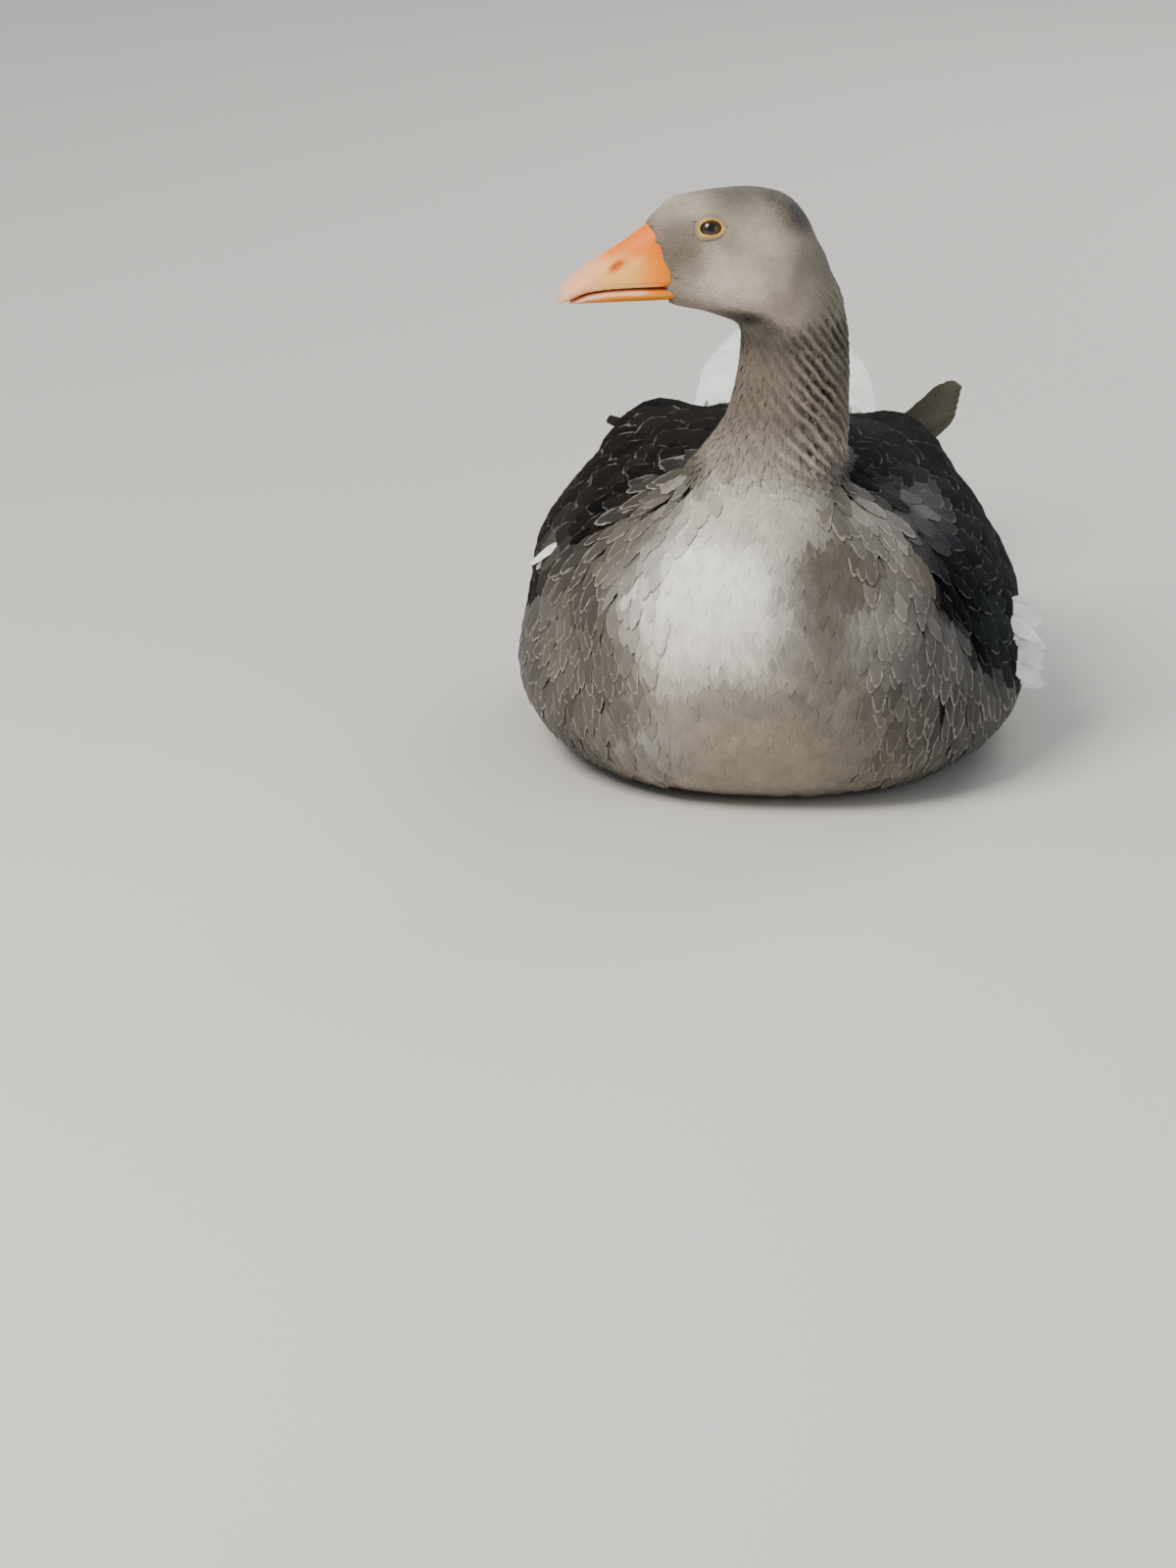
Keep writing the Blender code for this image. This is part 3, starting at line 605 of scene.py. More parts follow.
# vanes: the few shapes that the coat repeats
vaneLooks = {
    "velvet": {"columns": 2, "stations": (0, 0.4, 0.75, 1), "widths": (0.5, 1.0, 0.85, 0.25),
               "ragged": 0.12, "sway": 0.10},
    "hackle": {"columns": 2, "stations": (0, 0.22, 0.5, 0.78, 1), "widths": (0.4, 0.85, 1.0, 0.66, 0.12),
               "ragged": 0.10, "sway": 0.14},
    "contour": {"columns": 2, "stations": (0, 0.25, 0.5, 0.72, 0.9, 1),
                "widths": (0.35, 0.8, 1.0, 0.94, 0.66, 0.2), "ragged": 0.06, "sway": 0.08},
    "broad": {"columns": 4, "stations":
              (0, 0.2, 0.35, 0.47, 0.56, 0.64, 0.71, 0.77, 0.83, 0.88, 0.92, 0.96, 0.985, 1),
              "widths": (0.3, 0.7, 0.92, 1.0, 1.0, 0.99, 0.95, 0.9, 0.81, 0.70, 0.58, 0.41, 0.26, 0.10),
              "ragged": 0.10, "sway": 0.10},
    "plume": {"columns": 2, "stations": (0, 0.2, 0.4, 0.6, 0.8, 1), "widths": (0.4, 0.9, 1.0, 0.8, 0.45, 0.06),
              "ragged": 0.16, "sway": 0.30},
}
vaneVariants = 4


def vaneShape(name, look, seed):  # a thin closed lens: one unit long along Y, one wide along X
    rng = np.random.default_rng(seed)
    columns = look["columns"]
    sway = look["sway"] * rng.uniform(-1, 1)
    points, along, across, lift = [], [], [], []
    for t, width in zip(look["stations"], look["widths"]):
        for u in np.linspace(-1, 1, columns + 1):
            edge = abs(u) == 1
            reach = 0.5 * width * u * (1 + look["ragged"] * rng.uniform(-1, 1) * edge)
            points.append((reach + sway * t * t, t - 0.06 * width * u * u * (t > 0.5), 0))
            along.append(t)
            across.append(u)
            lift.append((1 - u * u) * (1 - 0.5 * t) + 0.25 * (u == 0))
    rows = len(look["stations"]) - 1
    wide = columns + 1
    faces = []
    for r in range(rows):
        for c in range(columns):
            k = r * wide + c
            faces.append((k, k + 1, k + 1 + wide, k + wide))
        k = r * wide
        faces.append((k, k + wide, k + wide + columns, k + columns))
    faces.append(tuple(range(columns, -1, -1)))
    faces.append(tuple(rows * wide + c for c in range(wide)))
    obj = meshObject(name, points, faces)
    crispRims(obj.data, lambda corners: len(corners) == 4 and max(corners) - min(corners) == wide + 1)
    bpy.context.scene.collection.objects.unlink(obj)
    for label, values in (("along", along), ("across", across), ("lift", lift)):
        setAttribute(obj.data, label, "FLOAT", values)
    return obj


vanes = {}
for order, (label, look) in enumerate(vaneLooks.items()):
    vanes[label] = bpy.data.collections.new("vanes " + label)
    for k in range(vaneVariants):
        vanes[label].objects.link(vaneShape(f"{label}_{k}", look, 100 * order + k))

# the coat: one Geometry Nodes tree lays vanes on the skin
coatInputs = (
    ("Roots", "NodeSocketGeometry"), ("Vanes", "NodeSocketCollection"), ("Skin", "NodeSocketObject"),
    ("Finish", "NodeSocketMaterial"), ("Furrow count", "NodeSocketFloat"),
    ("Furrow slant", "NodeSocketFloat"), ("Furrow waver", "NodeSocketFloat"),
    ("Patch size", "NodeSocketFloat"), ("Floor gap", "NodeSocketFloat"),
)
rootFields = {
    "flow": "FLOAT_VECTOR", "outward": "FLOAT_VECTOR", "size": "FLOAT_VECTOR", "patch": "FLOAT_VECTOR",
    "thick": "FLOAT", "rootShare": "FLOAT", "tipShare": "FLOAT", "follow": "FLOAT",
    "furrow": "FLOAT", "fringeShare": "FLOAT", "barbs": "FLOAT", "variant": "INT",
    "plumage": "FLOAT_COLOR", "fringe": "FLOAT_COLOR",
}
finishFields = ("plumage", "fringe", "along", "across", "fringeShare", "barbs", "crest", "furrow")
coatTree = bpy.data.node_groups.new("feather coat", "GeometryNodeTree")
for label, kind in coatInputs:
    coatTree.interface.new_socket(label, in_out="INPUT", socket_type=kind)
coatTree.interface.new_socket("Coat", in_out="OUTPUT", socket_type="NodeSocketGeometry")
given = addNode(coatTree, "NodeGroupInput").outputs
own = {label: given[label] for label, _ in coatInputs}
vaneFields = {"along": "FLOAT", "across": "FLOAT", "lift": "FLOAT", "loft": "FLOAT_VECTOR"}
for label, kind in (*rootFields.items(), *vaneFields.items()):
    if kind != "FLOAT_COLOR":
        own[label] = addNode(coatTree, "GeometryNodeInputNamedAttribute", {"Name": label},
                             data_type=kind).outputs[0]
shapes = addNode(coatTree, "GeometryNodeCollectionInfo",
                 {"Collection": given["Vanes"], "Separate Children": True, "Reset Children": True})
facing = addNode(coatTree, "FunctionNodeAxesToRotation", {0: own["flow"], 1: own["outward"]},
                 primary_axis="Y", secondary_axis="Z")
placed = addNode(coatTree, "GeometryNodeInstanceOnPoints", {
    "Points": given["Roots"], "Instance": shapes.outputs[0], "Pick Instance": True,
    "Instance Index": own["variant"], "Rotation": facing.outputs[0], "Scale": own["size"]})
shape = addNode(coatTree, "GeometryNodeRealizeInstances", {0: placed.outputs[0]}).outputs[0]
place = own["place"] = addNode(coatTree, "GeometryNodeInputPosition").outputs[0]
own["waver"] = addNode(coatTree, "ShaderNodeTexNoise",
                       {"Vector": place, "Scale": 1 / 0.013, "Detail": 1.0}).outputs["Fac"]
body = addNode(coatTree, "GeometryNodeObjectInfo", {"Object": given["Skin"]}).outputs["Geometry"]
for label, value in (("nearest", place), ("loft", own["loft"])):  # the skin under a vane, and its depth of coat
    own[label] = addNode(coatTree, "GeometryNodeSampleNearestSurface",
                         {"Mesh": body, "Value": value, "Sample Position": place},
                         data_type="FLOAT_VECTOR").outputs[0]
addRows(coatTree, own, (
    ("loftLength", "VectorMath", "LENGTH", "loft"),  # how high each point of a vane stands over the skin
    ("loftWay", "VectorMath", "NORMALIZE", "loft"),
    ("rest", "Math", "SUBTRACT", 1.0, "along"),
    ("rest", "Math", "MULTIPLY", "rest", "rest"),
    ("ease", "Math", "SUBTRACT", 1.0, "rest"),
    ("share", "Mix", "FLOAT", "ease", "rootShare", "tipShare"),
    ("arch", "Math", "MULTIPLY", "lift", "thick"),
    ("height", "Math", "MULTIPLY_ADD", "loftLength", "share", "arch"),
    ("place", "SeparateXYZ", None, "place"),  # the neck's furrows: slanting waves round its axis
    ("east", "Math", "SUBTRACT", "placeX", float(neckAxis[0])),
    ("south", "Math", "SUBTRACT", float(neckAxis[1]), "placeY"),
    ("angle", "Math", "ARCTAN2", "east", "south"),
    ("climb", "Math", "MULTIPLY", "placeZ", "Furrow slant"),
    ("phase", "Math", "MULTIPLY_ADD", "angle", "Furrow count", "climb"),
    ("phase", "Math", "MULTIPLY_ADD", "waver", "Furrow waver", "phase"),
    ("wave", "Math", "COSINE", "phase"),
    ("crest", "Math", "MULTIPLY_ADD", "wave", 0.5, 0.5),
    ("dip", "Math", "SUBTRACT", 1.0, "crest"),
    ("dip", "Math", "POWER", "dip", 1.6),
    ("sink", "Math", "MULTIPLY", "dip", "furrow"),
    ("height", "Math", "SUBTRACT", "height", "sink"),
    ("laid", "VectorMath", "SCALE", "loftWay", None, None, "height"),  # laid on the skin, or free of it
    ("laid", "VectorMath", "ADD", "nearest", "laid"),
    ("free", "VectorMath", "SCALE", "outward", None, None, "arch"),
    ("free", "VectorMath", "ADD", "place", "free"),
    ("final", "Mix", "VECTOR", "follow", "free", "laid"),
    ("final", "SeparateXYZ", None, "final"),  # nothing sinks into the floor
    ("lowest", "Math", "MULTIPLY_ADD", "lift", 0.0004, "Floor gap"),
    ("level", "Math", "MAXIMUM", "finalZ", "lowest"),
    ("final", "CombineXYZ", None, "finalX", "finalY", "level"),
    ("inPatch", "CombineXYZ", None, "across", "along"),  # the vane's own patch of the map
    ("inPatch", "VectorMath", "MULTIPLY_ADD", "inPatch", (0.5, 1.0, 0.0), (0.0, -0.5, 0.0)),
    ("inPatch", "VectorMath", "SCALE", "inPatch", None, None, "Patch size"),
    ("inMap", "VectorMath", "ADD", "patch", "inPatch"),
))
for label, value, kind, domain in (("crest", "crest", "FLOAT", "POINT"),
                                   ("OFBake", "inMap", "FLOAT2", "CORNER")):
    shape = addNode(coatTree, "GeometryNodeStoreNamedAttribute",
                    {"Geometry": shape, "Name": label, "Value": own[value]},
                    data_type=kind, domain=domain).outputs[0]
shape = addNode(coatTree, "GeometryNodeSetPosition", {"Geometry": shape, "Position": own["final"]}).outputs[0]
shape = addNode(coatTree, "GeometryNodeSetShadeSmooth", {"Geometry": shape, "Shade Smooth": True}).outputs[0]
shape = addNode(coatTree, "GeometryNodeSetMaterial", {"Geometry": shape, "Material": given["Finish"]}).outputs[0]
addNode(coatTree, "NodeGroupOutput", {0: shape})
inputKeys = {item.name: item.identifier for item in coatTree.interface.items_tree if item.in_out == "INPUT"}

furrowLook = {"count": 26.0, "slant": 680.0, "waver": 4.6, "depth": 0.0031}


def vaneFinish(name, roughness, sheen, barbMix, shaftMix, paintedFurrowShade=0.0, gloss=0.2):
    material, tree, shader = newMaterial(name, {
        "Roughness": roughness, "Specular IOR Level": gloss, "Sheen Weight": sheen, "Sheen Roughness": 0.5})
    known = {}
    for label in finishFields:
        node = addNode(tree, "ShaderNodeAttribute", attribute_name=label)
        known[label] = node.outputs["Color" if label in ("plumage", "fringe") else "Fac"]
    where = addNode(tree, "ShaderNodeTexCoord").outputs["Object"]
    for label, size, detail in (("loose", 0.004, 2.0), ("patches", 0.012, 4.0)):
        known[label] = addNode(tree, "ShaderNodeTexNoise",
                               {"Vector": where, "Scale": 1 / size, "Detail": detail}).outputs["Fac"]
    addRows(tree, known, (
        ("aside", "Math", "ABSOLUTE", "across"),  # barbs lean out from the shaft
        ("lean", "Math", "MULTIPLY_ADD", "aside", -0.35, "along"),
        ("phase", "Math", "MULTIPLY", "lean", "barbs"),
        ("phase", "Math", "MULTIPLY_ADD", "loose", 5.0, "phase"),
        ("wave", "Math", "SINE", "phase"),
        ("tipward", "MapRange", "SMOOTHSTEP", "along", 0.25, 0.85),  # the pale edge is widest at the tip
        ("sideRim", "Math", "MULTIPLY", "aside", "tipward"),
        ("endRim", "MapRange", None, "along", 0.8, 1.0),
        ("rim", "Math", "MAXIMUM", "sideRim", "endRim"),
        ("rim", "Math", "MULTIPLY_ADD", "wave", 0.05, "rim"),
        ("start", "Math", "SUBTRACT", 1.0, "fringeShare"),
        ("end", "Math", "MULTIPLY_ADD", "fringeShare", -0.55, 1.0),
        ("edge", "MapRange", "SMOOTHSTEP", "rim", "start", "end"),
        ("colour", "Mix", "MIX", "edge", "plumage", "fringe"),
        ("barbTone", "MapRange", None, "wave", -1.0, 1.0, 1 - barbMix, 1 + barbMix),
        ("colour", "Mix", "MULTIPLY", 1.0, "colour", "barbTone"),
        ("patchTone", "MapRange", None, "patches", 0.3, 0.7, 0.88, 1.12),
        ("colour", "Mix", "MULTIPLY", 1.0, "colour", "patchTone"),
    ))
    if shaftMix:
        addRows(tree, known, (
            ("shaft", "MapRange", None, "aside", 0.02, 0.09, shaftMix, 0.0),
            ("colour", "Mix", "MIX", "shaft", "colour", rgba("#2a2522")),
        ))
    # Painted shade in the neck's furrows and painted light on their crests, as strong as the furrow there is deep.
    if paintedFurrowShade:
        addRows(tree, known, (
            ("strength", "Math", "MULTIPLY", "furrow", paintedFurrowShade / furrowLook["depth"]),
            ("shade", "MapRange", "SMOOTHSTEP", "crest", 0.18, 0.95, 0.09, 1.75),
            ("grooved", "Mix", "MULTIPLY", 1.0, "colour", "shade"),
            ("colour", "Mix", "MIX", "strength", "colour", "grooved"),
        ))
    paintShader(tree, shader, known["colour"], known["wave"], 0.35, 0.00025)
    return material


# Feather keratin is dry and matt with a faint silky sheen. Its barbs are drawn coarser than life, so they show.
velvetFinish = vaneFinish("velvety face feather keratin", 0.75, 0.10, 0.03, 0, 0.8)
hackleFinish = vaneFinish("furrowed neck feather keratin", 0.72, 0.05, 0.06, 0, 1.0)
contourFinish = vaneFinish("soft contour feather keratin", 0.7, 0.08, 0.05, 0.0)
vaneKeratin = vaneFinish("smooth wing covert keratin", 0.68, 0.0, 0.08, 0.35, 0.0, 0.02)
whiteKeratin = vaneFinish("white unpigmented feather keratin", 0.6, 0.2, 0.04, 0)


def lieOf(points, normals):  # the way that feathers point, along the skin
    y = points[:, 1]
    lie = blend(np.tile((0.0, -0.25, -1.0), (len(points), 1)), (0.0, 1.0, -0.5), smoothStep(-0.235, -0.15, y))
    lie = blend(lie, (0.0, 1.0, -0.12), smoothStep(-0.10, 0.05, y))
    lie = blend(lie, (0.10, 0.10, -1.0), neckShare(points))
    ahead, _, above = toHead(points).T
    backward, downward = -headForward + (0, 0, -0.15), -0.25 * headForward + (0, 0, -1.0)
    behind = smoothStep(-0.045, -0.085, ahead)
    below = smoothStep(0.002, -0.03, above) * smoothStep(-0.015, -0.055, ahead)
    headLie = blend(np.tile(backward, (len(points), 1)), downward, np.maximum(behind, below))
    lie = blend(lie, headLie, headShare(points))
    lie = lie - normals * dot(lie, normals)[:, None]
    return unit(lie)


def valueAt(value, points):  # a number for each point, from one number or a function of place
    return value(points) if callable(value) else np.full(len(points), value)


crowding = 3.2  # places tried for each one that could be kept


def scatter(inside, spacing, seed):  # places on the skin, no two closer than the spacing there
    rng = np.random.default_rng(seed)
    keep = np.nonzero(inside(triangleMiddles))[0]
    share = triangleAreas[keep] / valueAt(spacing, triangleMiddles[keep]) ** 2
    count = int(share.sum() * crowding)
    picks = keep[rng.choice(len(keep), count, p=share / share.sum())]
    a, b = rng.random((2, count))
    over = a + b > 1
    a[over], b[over] = 1 - a[over], 1 - b[over]
    points = (cornerPoints[picks] * np.stack([1 - a - b, a, b], axis=1)[:, :, None]).sum(axis=1)
    gaps = valueAt(spacing, points)
    search = KDTree(count)
    for k, point in enumerate(points):
        search.insert(point, k)
    search.balance()
    alive = np.ones(count, bool)
    for k in range(count):
        if alive[k]:
            for _, other, _ in search.find_range(points[k], gaps[k]):
                alive[other] = other == k
    chosen = np.nonzero(alive)[0]
    return points[chosen], picks[chosen]


def frontScale(y):  # feathers are smaller towards the breast
    return 0.5 + 0.5 * float(smoothStep(-0.22, -0.10, y))


def rowsRound(look, side):  # staggered rows round the trunk, front to back
    points, triangles = [], []
    places = [look["front"]]
    while places[-1] < look["rear"]:
        places.append(places[-1] + look["rowStep"] * frontScale(places[-1]))
    for order, y in enumerate(places):
        angle = look["top"] + (order % 2) * 0.5 * look["featherStep"] / 0.13
        while angle < look["bottom"]:
            way = Vector((side * math.sin(angle), 0, math.cos(angle)))
            hit = skinTree.ray_cast(Vector((0, y, look["axisHeight"])), way)
            if hit[0] is None:
                break
            points.append(tuple(hit[0]))
            triangles.append(hit[2])
            away = (hit[0] - Vector((0, y, look["axisHeight"]))).length
            angle += look["featherStep"] * frontScale(y) / max(away, 0.03)
    return np.array(points), np.array(triangles)


def unwrapped(points):  # the skin unrolled round the body, or round the neck and head
    x, y, z = points.T
    if z.mean() > 0.2:
        flat = np.stack([aroundNeck(points)[0], z], axis=1)
    else:
        flat = np.stack([np.arctan2(x, z - 0.09), y], axis=1)
    low, high = flat.min(axis=0), flat.max(axis=0)
    return np.c_[0.004 + 0.992 * (flat - low) / (high - low), np.zeros(len(flat))]


usualFeather = {
    "colour": plumage, "stray": 0.12, "uneven": 0.12, "raise": 0.0, "mottle": 0.08, "dim": 1.0,
    "rootShare": 0.55, "tipShare": 1.0, "tipJitter": 0.06, "follow": 1.0, "furrow": 0.0,
    "fringeMix": 0.5, "fringeShare": 0.25, "barb": 0.001,
}


def dressed(points, triangles, look, seed):  # everything a feather's root carries
    look = {**usualFeather, **look}
    rng = np.random.default_rng(seed)
    count = len(points)
    a, b, c = cornerPoints[triangles].transpose(1, 0, 2)
    whole = np.cross(b - a, c - a)
    area = np.maximum(dot(whole, whole), 1e-18)
    wb = dot(np.cross(points - a, c - a), whole) / area
    wc = dot(np.cross(b - a, points - a), whole) / area
    weights = np.stack([1 - wb - wc, wb, wc], axis=1)
    normals = unit((skinNormals[corners[triangles]] * weights[:, :, None]).sum(axis=1))
    coat = (depth[corners[triangles]] * weights).sum(axis=1)
    flow = lieOf(points, normals)
    if "lieBias" in look:
        flow = flow + np.array(look["lieBias"])
        flow = unit(flow - normals * dot(flow, normals)[:, None])
    stray = rng.normal(0, look["stray"], count)
    sideways = np.cross(normals, flow)
    flow = unit(flow * np.cos(stray)[:, None] + sideways * np.sin(stray)[:, None])
    length = valueAt(look["length"], points) * (1 + look["uneven"] * rng.uniform(-1, 1, count))
    width = length * valueAt(look["slim"], points)
    if look["raise"]:
        flow = unit(flow + normals * look["raise"])
    shown = points + normals * coat[:, None] + flow * (0.55 * length)[:, None]
    brightness = 1 + look["mottle"] * rng.normal(0, 1, count)
    base = np.clip(look["colour"](shown) * (brightness * look["dim"])[:, None], 0.004, 0.95)
    if "fringeGain" in look:
        fringe = base * look["fringeGain"]
    else:
        fringeMix = look["fringeMix"] * np.clip(1 + 0.35 * rng.normal(0, 1, count), 0, 1.4)
        fringe = blend(base, linear(look["fringe"]), fringeMix)
    fields = {label: np.full(count, look[label]) for label in ("thick", "rootShare", "follow", "fringeShare")}
    fields.update({
        "flow": flow, "outward": normals, "size": np.stack([width, length, np.ones(count)], axis=1),
        "tipShare": look["tipShare"] + look["tipJitter"] * rng.uniform(-1, 1, count),
        "variant": rng.integers(0, vaneVariants, count), "patch": unwrapped(points),
        "furrow": valueAt(look["furrow"], points), "barbs": length / look["barb"] * 3.14,
        "plumage": base, "fringe": np.clip(fringe, 0.004, 0.95),
    })
    return points, fields


def layCoat(name, roots, vane, slot, finish, keep=None):
    points, fields = roots
    if keep is not None:
        points, fields = points[keep], {label: values[keep] for label, values in fields.items()}
    mesh = bpy.data.meshes.new(name)
    mesh.vertices.add(len(points))
    movePoints(mesh, points)
    for label, values in fields.items():
        setAttribute(mesh, label, rootFields[label], values)
    obj = inScene(name, mesh)
    modifier = obj.modifiers.new("Coat", "NODES")
    modifier.node_group = coatTree
    settings = {
        "Vanes": vanes[vane], "Skin": skin, "Finish": finish, "Furrow count": furrowLook["count"],
        "Furrow slant": furrowLook["slant"], "Furrow waver": furrowLook["waver"],
        "Patch size": 0.003, "Floor gap": 0.0006,
    }
    for label, value in settings.items():
        modifier[inputKeys[label]] = value
    settled(obj)
    for label in (*rootFields, "lift"):
        if label not in finishFields and label in obj.data.attributes:
            obj.data.attributes.remove(obj.data.attributes[label])
    putTogether(obj, slot)
    triangles = sum(len(face.vertices) - 2 for face in obj.data.polygons)
    print(f"stage: {name}, {len(points)} feathers, {triangles} triangles")


def sownCoat(name, look, vane, slot, finish, inside, spacing, seeds):  # feathers sown at random over a region
    roots = dressed(*scatter(inside, spacing, seeds[0]), look, seeds[1])
    layCoat(name, roots, vane, slot, finish)


def furrowDepth(points):  # how deep the neck's furrows are
    z, angle = points[:, 2], aroundNeck(points)[0]
    side = np.maximum(smoothStep(-0.30, 0.25, angle), smoothStep(-1.9, -2.4, angle))
    top = 0.280 + 0.022 * smoothStep(0.3, 1.3, angle) + 0.004 * valueNoise(points, 0.012, 23)
    reach = smoothStep(0.188, 0.205, z) * (1 - smoothStep(-0.014, 0.004, z - top))
    patchy = 0.85 + 0.45 * (valueNoise(points, 0.009, 21) - 0.5)
    return furrowLook["depth"] * patchy * reach * (0.16 + 0.84 * side)


def neckTop(points):
    return 0.262 + 0.016 * smoothStep(0.2, 1.2, aroundNeck(points)[0]) + 0.004 * valueNoise(points, 0.006, 25)


# the head's coat: short velvety feathers that part for the eyes and stop at the bill
headLook = {
    "length": lambda p: 0.0054 + 0.0016 * smoothStep(-0.03, -0.08, toHead(p)[:, 0]),
    "slim": lambda p: 0.42 - 0.12 * smoothStep(-0.02, -0.036, toHead(p)[:, 2]),
    "thick": 0.00012, "rootShare": 0.68, "tipShare": 0.85, "tipJitter": 0.05, "stray": 0.13, "uneven": 0.2,
    "fringe": "#c9beb0", "fringeMix": 0.12, "fringeShare": 0.45, "mottle": 0.03, "barb": 0.0008,
    "furrow": furrowDepth,
}


def inHead(points):
    return (points[:, 2] > neckTop(points) - 0.001) & (toHead(points)[:, 2] > -0.055)


points, triangles = scatter(inHead, 0.00107, 11)
clear = distanceTo(billTree, points, 0.004) > 0.0007
clear &= lidGap(points) > 0.88
clear &= np.array([billTree.ray_cast(Vector(p), Vector(headForward))[0] is None or toHead(p)[0] < 0
                   for p in points])  # none starts inside the bill's base
points, triangles = points[clear], triangles[clear]
headRoots = dressed(points, triangles, headLook, 12)
tips = points + headRoots[1]["flow"] * headRoots[1]["size"][:, 1:2]
shorter = np.clip((lidGap(tips) - 0.80) / 0.25, 0.3, 1)
headRoots[1]["size"][:, 1] *= shorter
layCoat("head_coat", headRoots, "velvet", "plumage_taupe", velvetFinish)

# the neck's coat: narrow pointed feathers laid in furrows
neckLook = {
    "length": lambda p: (0.0060 + 0.0018 * smoothStep(0.285, 0.255, p[:, 2])
                         + 0.004 * smoothStep(0.21, 0.19, p[:, 2])),
    "slim": 0.30, "thick": 0.00022, "rootShare": 0.72, "tipShare": 1.0, "tipJitter": 0.05,
    "stray": 0.14, "uneven": 0.2, "fringe": "#a89c8b", "fringeMix": 0.22, "fringeShare": 0.5,
    "mottle": 0.07, "furrow": furrowDepth, "lieBias": (0.30, 0.0, 0.0), "barb": 0.001,
}


def inNeck(points):
    z, away = points[:, 2], aroundNeck(points)[1]
    return (z <= neckTop(points)) & (z > 0.186 + 0.004 * valueNoise(points, 0.012, 27)) & (away < 0.062)


sownCoat("neck_upper_coat", neckLook, "hackle", "plumage_taupe", hackleFinish,
         lambda p: inNeck(p) & (p[:, 2] > 0.226), 0.00130, (31, 32))
sownCoat("neck_lower_coat", neckLook, "hackle", "plumage_taupe", hackleFinish,
         lambda p: inNeck(p) & (p[:, 2] <= 0.2275),
         lambda p: 0.00135 + 0.0006 * smoothStep(0.2, 0.19, p[:, 2]), (33, 34))

# breast, belly and mantle
breastLook = {
    "length": lambda p: 0.014 + 0.005 * smoothStep(0.19, 0.13, p[:, 2]), "slim": 0.40, "thick": 0.0002,
    "rootShare": 0.86, "tipJitter": 0.02, "stray": 0.16, "fringeGain": 1.12, "fringeShare": 0.5, "mottle": 0.04,
    "barb": 0.0012,
}


def inTrunk(points):
    return ~inNeck(points) & (points[:, 2] < 0.21)


def flankEdge(points):  # where the small breast feathers give way to the long flank feathers
    inward = np.clip(0.080 - np.abs(points[:, 0] + 0.006), 0, 1)
    return -0.262 + 0.9 * inward + 0.010 * (valueNoise(points, 0.012, 29) - 0.5)


def inBreast(points):
    front = points[:, 1] < np.maximum(flankEdge(points) + 0.014, -0.232)
    return inTrunk(points) & front & (darkness(points) < 0.6) & (points[:, 2] > 0.012)


points, triangles = scatter(inBreast, lambda p: 0.0020 + 0.0007 * smoothStep(0.19, 0.15, p[:, 2]), 41)
breastRoots = dressed(points, triangles, breastLook, 42)
leftSide = points[:, 0] > -0.004
layCoat("breast_coat_left", breastRoots, "plume", "plumage_pale", contourFinish, leftSide)
layCoat("breast_coat_right", breastRoots, "plume", "plumage_pale", contourFinish, ~leftSide)

bellyLook = {
    "length": 0.030, "slim": 0.55, "thick": 0.0009, "rootShare": 0.5, "stray": 0.15, "fringe": "#b9b0a2",
    "fringeMix": 0.3, "fringeShare": 0.35, "mottle": 0.06,
}


def inBelly(points):
    y, z = points[:, 1], points[:, 2]
    return inTrunk(points) & (z < 0.045) & (y > -0.25) & (y < 0.14)


sownCoat("belly_coat", bellyLook, "contour", "plumage_pale", contourFinish, inBelly, 0.0095, (51, 52))

mantleLook = {
    "length": 0.022, "slim": 0.55, "thick": 0.0005, "rootShare": 0.6, "tipShare": 0.9, "stray": 0.14,
    "fringe": "#6a6259", "fringeMix": 0.45, "fringeShare": 0.10, "mottle": 0.12,
}


def inMantle(points):
    x, y, z = points.T
    return inTrunk(points) & (darkness(points) > 0.4) & (y < -0.06) & (z > 0.14) & (np.abs(x) < 0.085)


sownCoat("mantle_coat", mantleLook, "contour", "plumage_dark", vaneKeratin, inMantle, 0.0072, (61, 62))

# flanks: long soft feathers with pale edges, in rows
flankLook = {
    "front": -0.262, "rear": 0.09, "rowStep": 0.0120, "featherStep": 0.0106, "top": 0.25, "bottom": 2.35,
    "axisHeight": 0.09, "length": lambda p: 0.023 + 0.027 * smoothStep(-0.22, -0.10, p[:, 1]), "slim": 0.36,
    "thick": 0.0006, "rootShare": 0.78, "tipShare": 1.06, "tipJitter": 0.07, "stray": 0.20, "uneven": 0.22,
    "fringe": "#b0a699", "fringeMix": 0.40, "fringeShare": 0.46, "mottle": 0.12, "lieBias": (0.0, 0.0, -0.30),
    "barb": 0.0014, "dim": 0.80,
}
backLook = {
    "front": -0.225, "rear": 0.10, "rowStep": 0.0160, "featherStep": 0.0160, "top": 0.0, "bottom": 1.9,
    "axisHeight": 0.09, "length": lambda p: 0.026 + 0.036 * smoothStep(-0.22, -0.10, p[:, 1]), "slim": 0.40,
    "thick": 0.0009, "rootShare": 0.55, "tipShare": 0.95, "tipJitter": 0.08, "stray": 0.09, "uneven": 0.15,
    "fringe": "#8b8884", "fringeMix": 0.36, "fringeShare": 0.26, "mottle": 0.28, "barb": 0.0014,
}
underLook = {
    "length": 0.020, "slim": 0.55, "thick": 0.0005, "rootShare": 0.30, "tipShare": 0.70, "stray": 0.2,
    "fringe": "#7d7368", "fringeMix": 0.10, "fringeShare": 0.2, "mottle": 0.06, "dim": 0.8,
}
sownCoat("under_coat", underLook, "contour", "plumage_dark", contourFinish,
         lambda p: inTrunk(p) & (p[:, 1] > -0.235) & (p[:, 1] < 0.22), 0.0064, (65, 66))
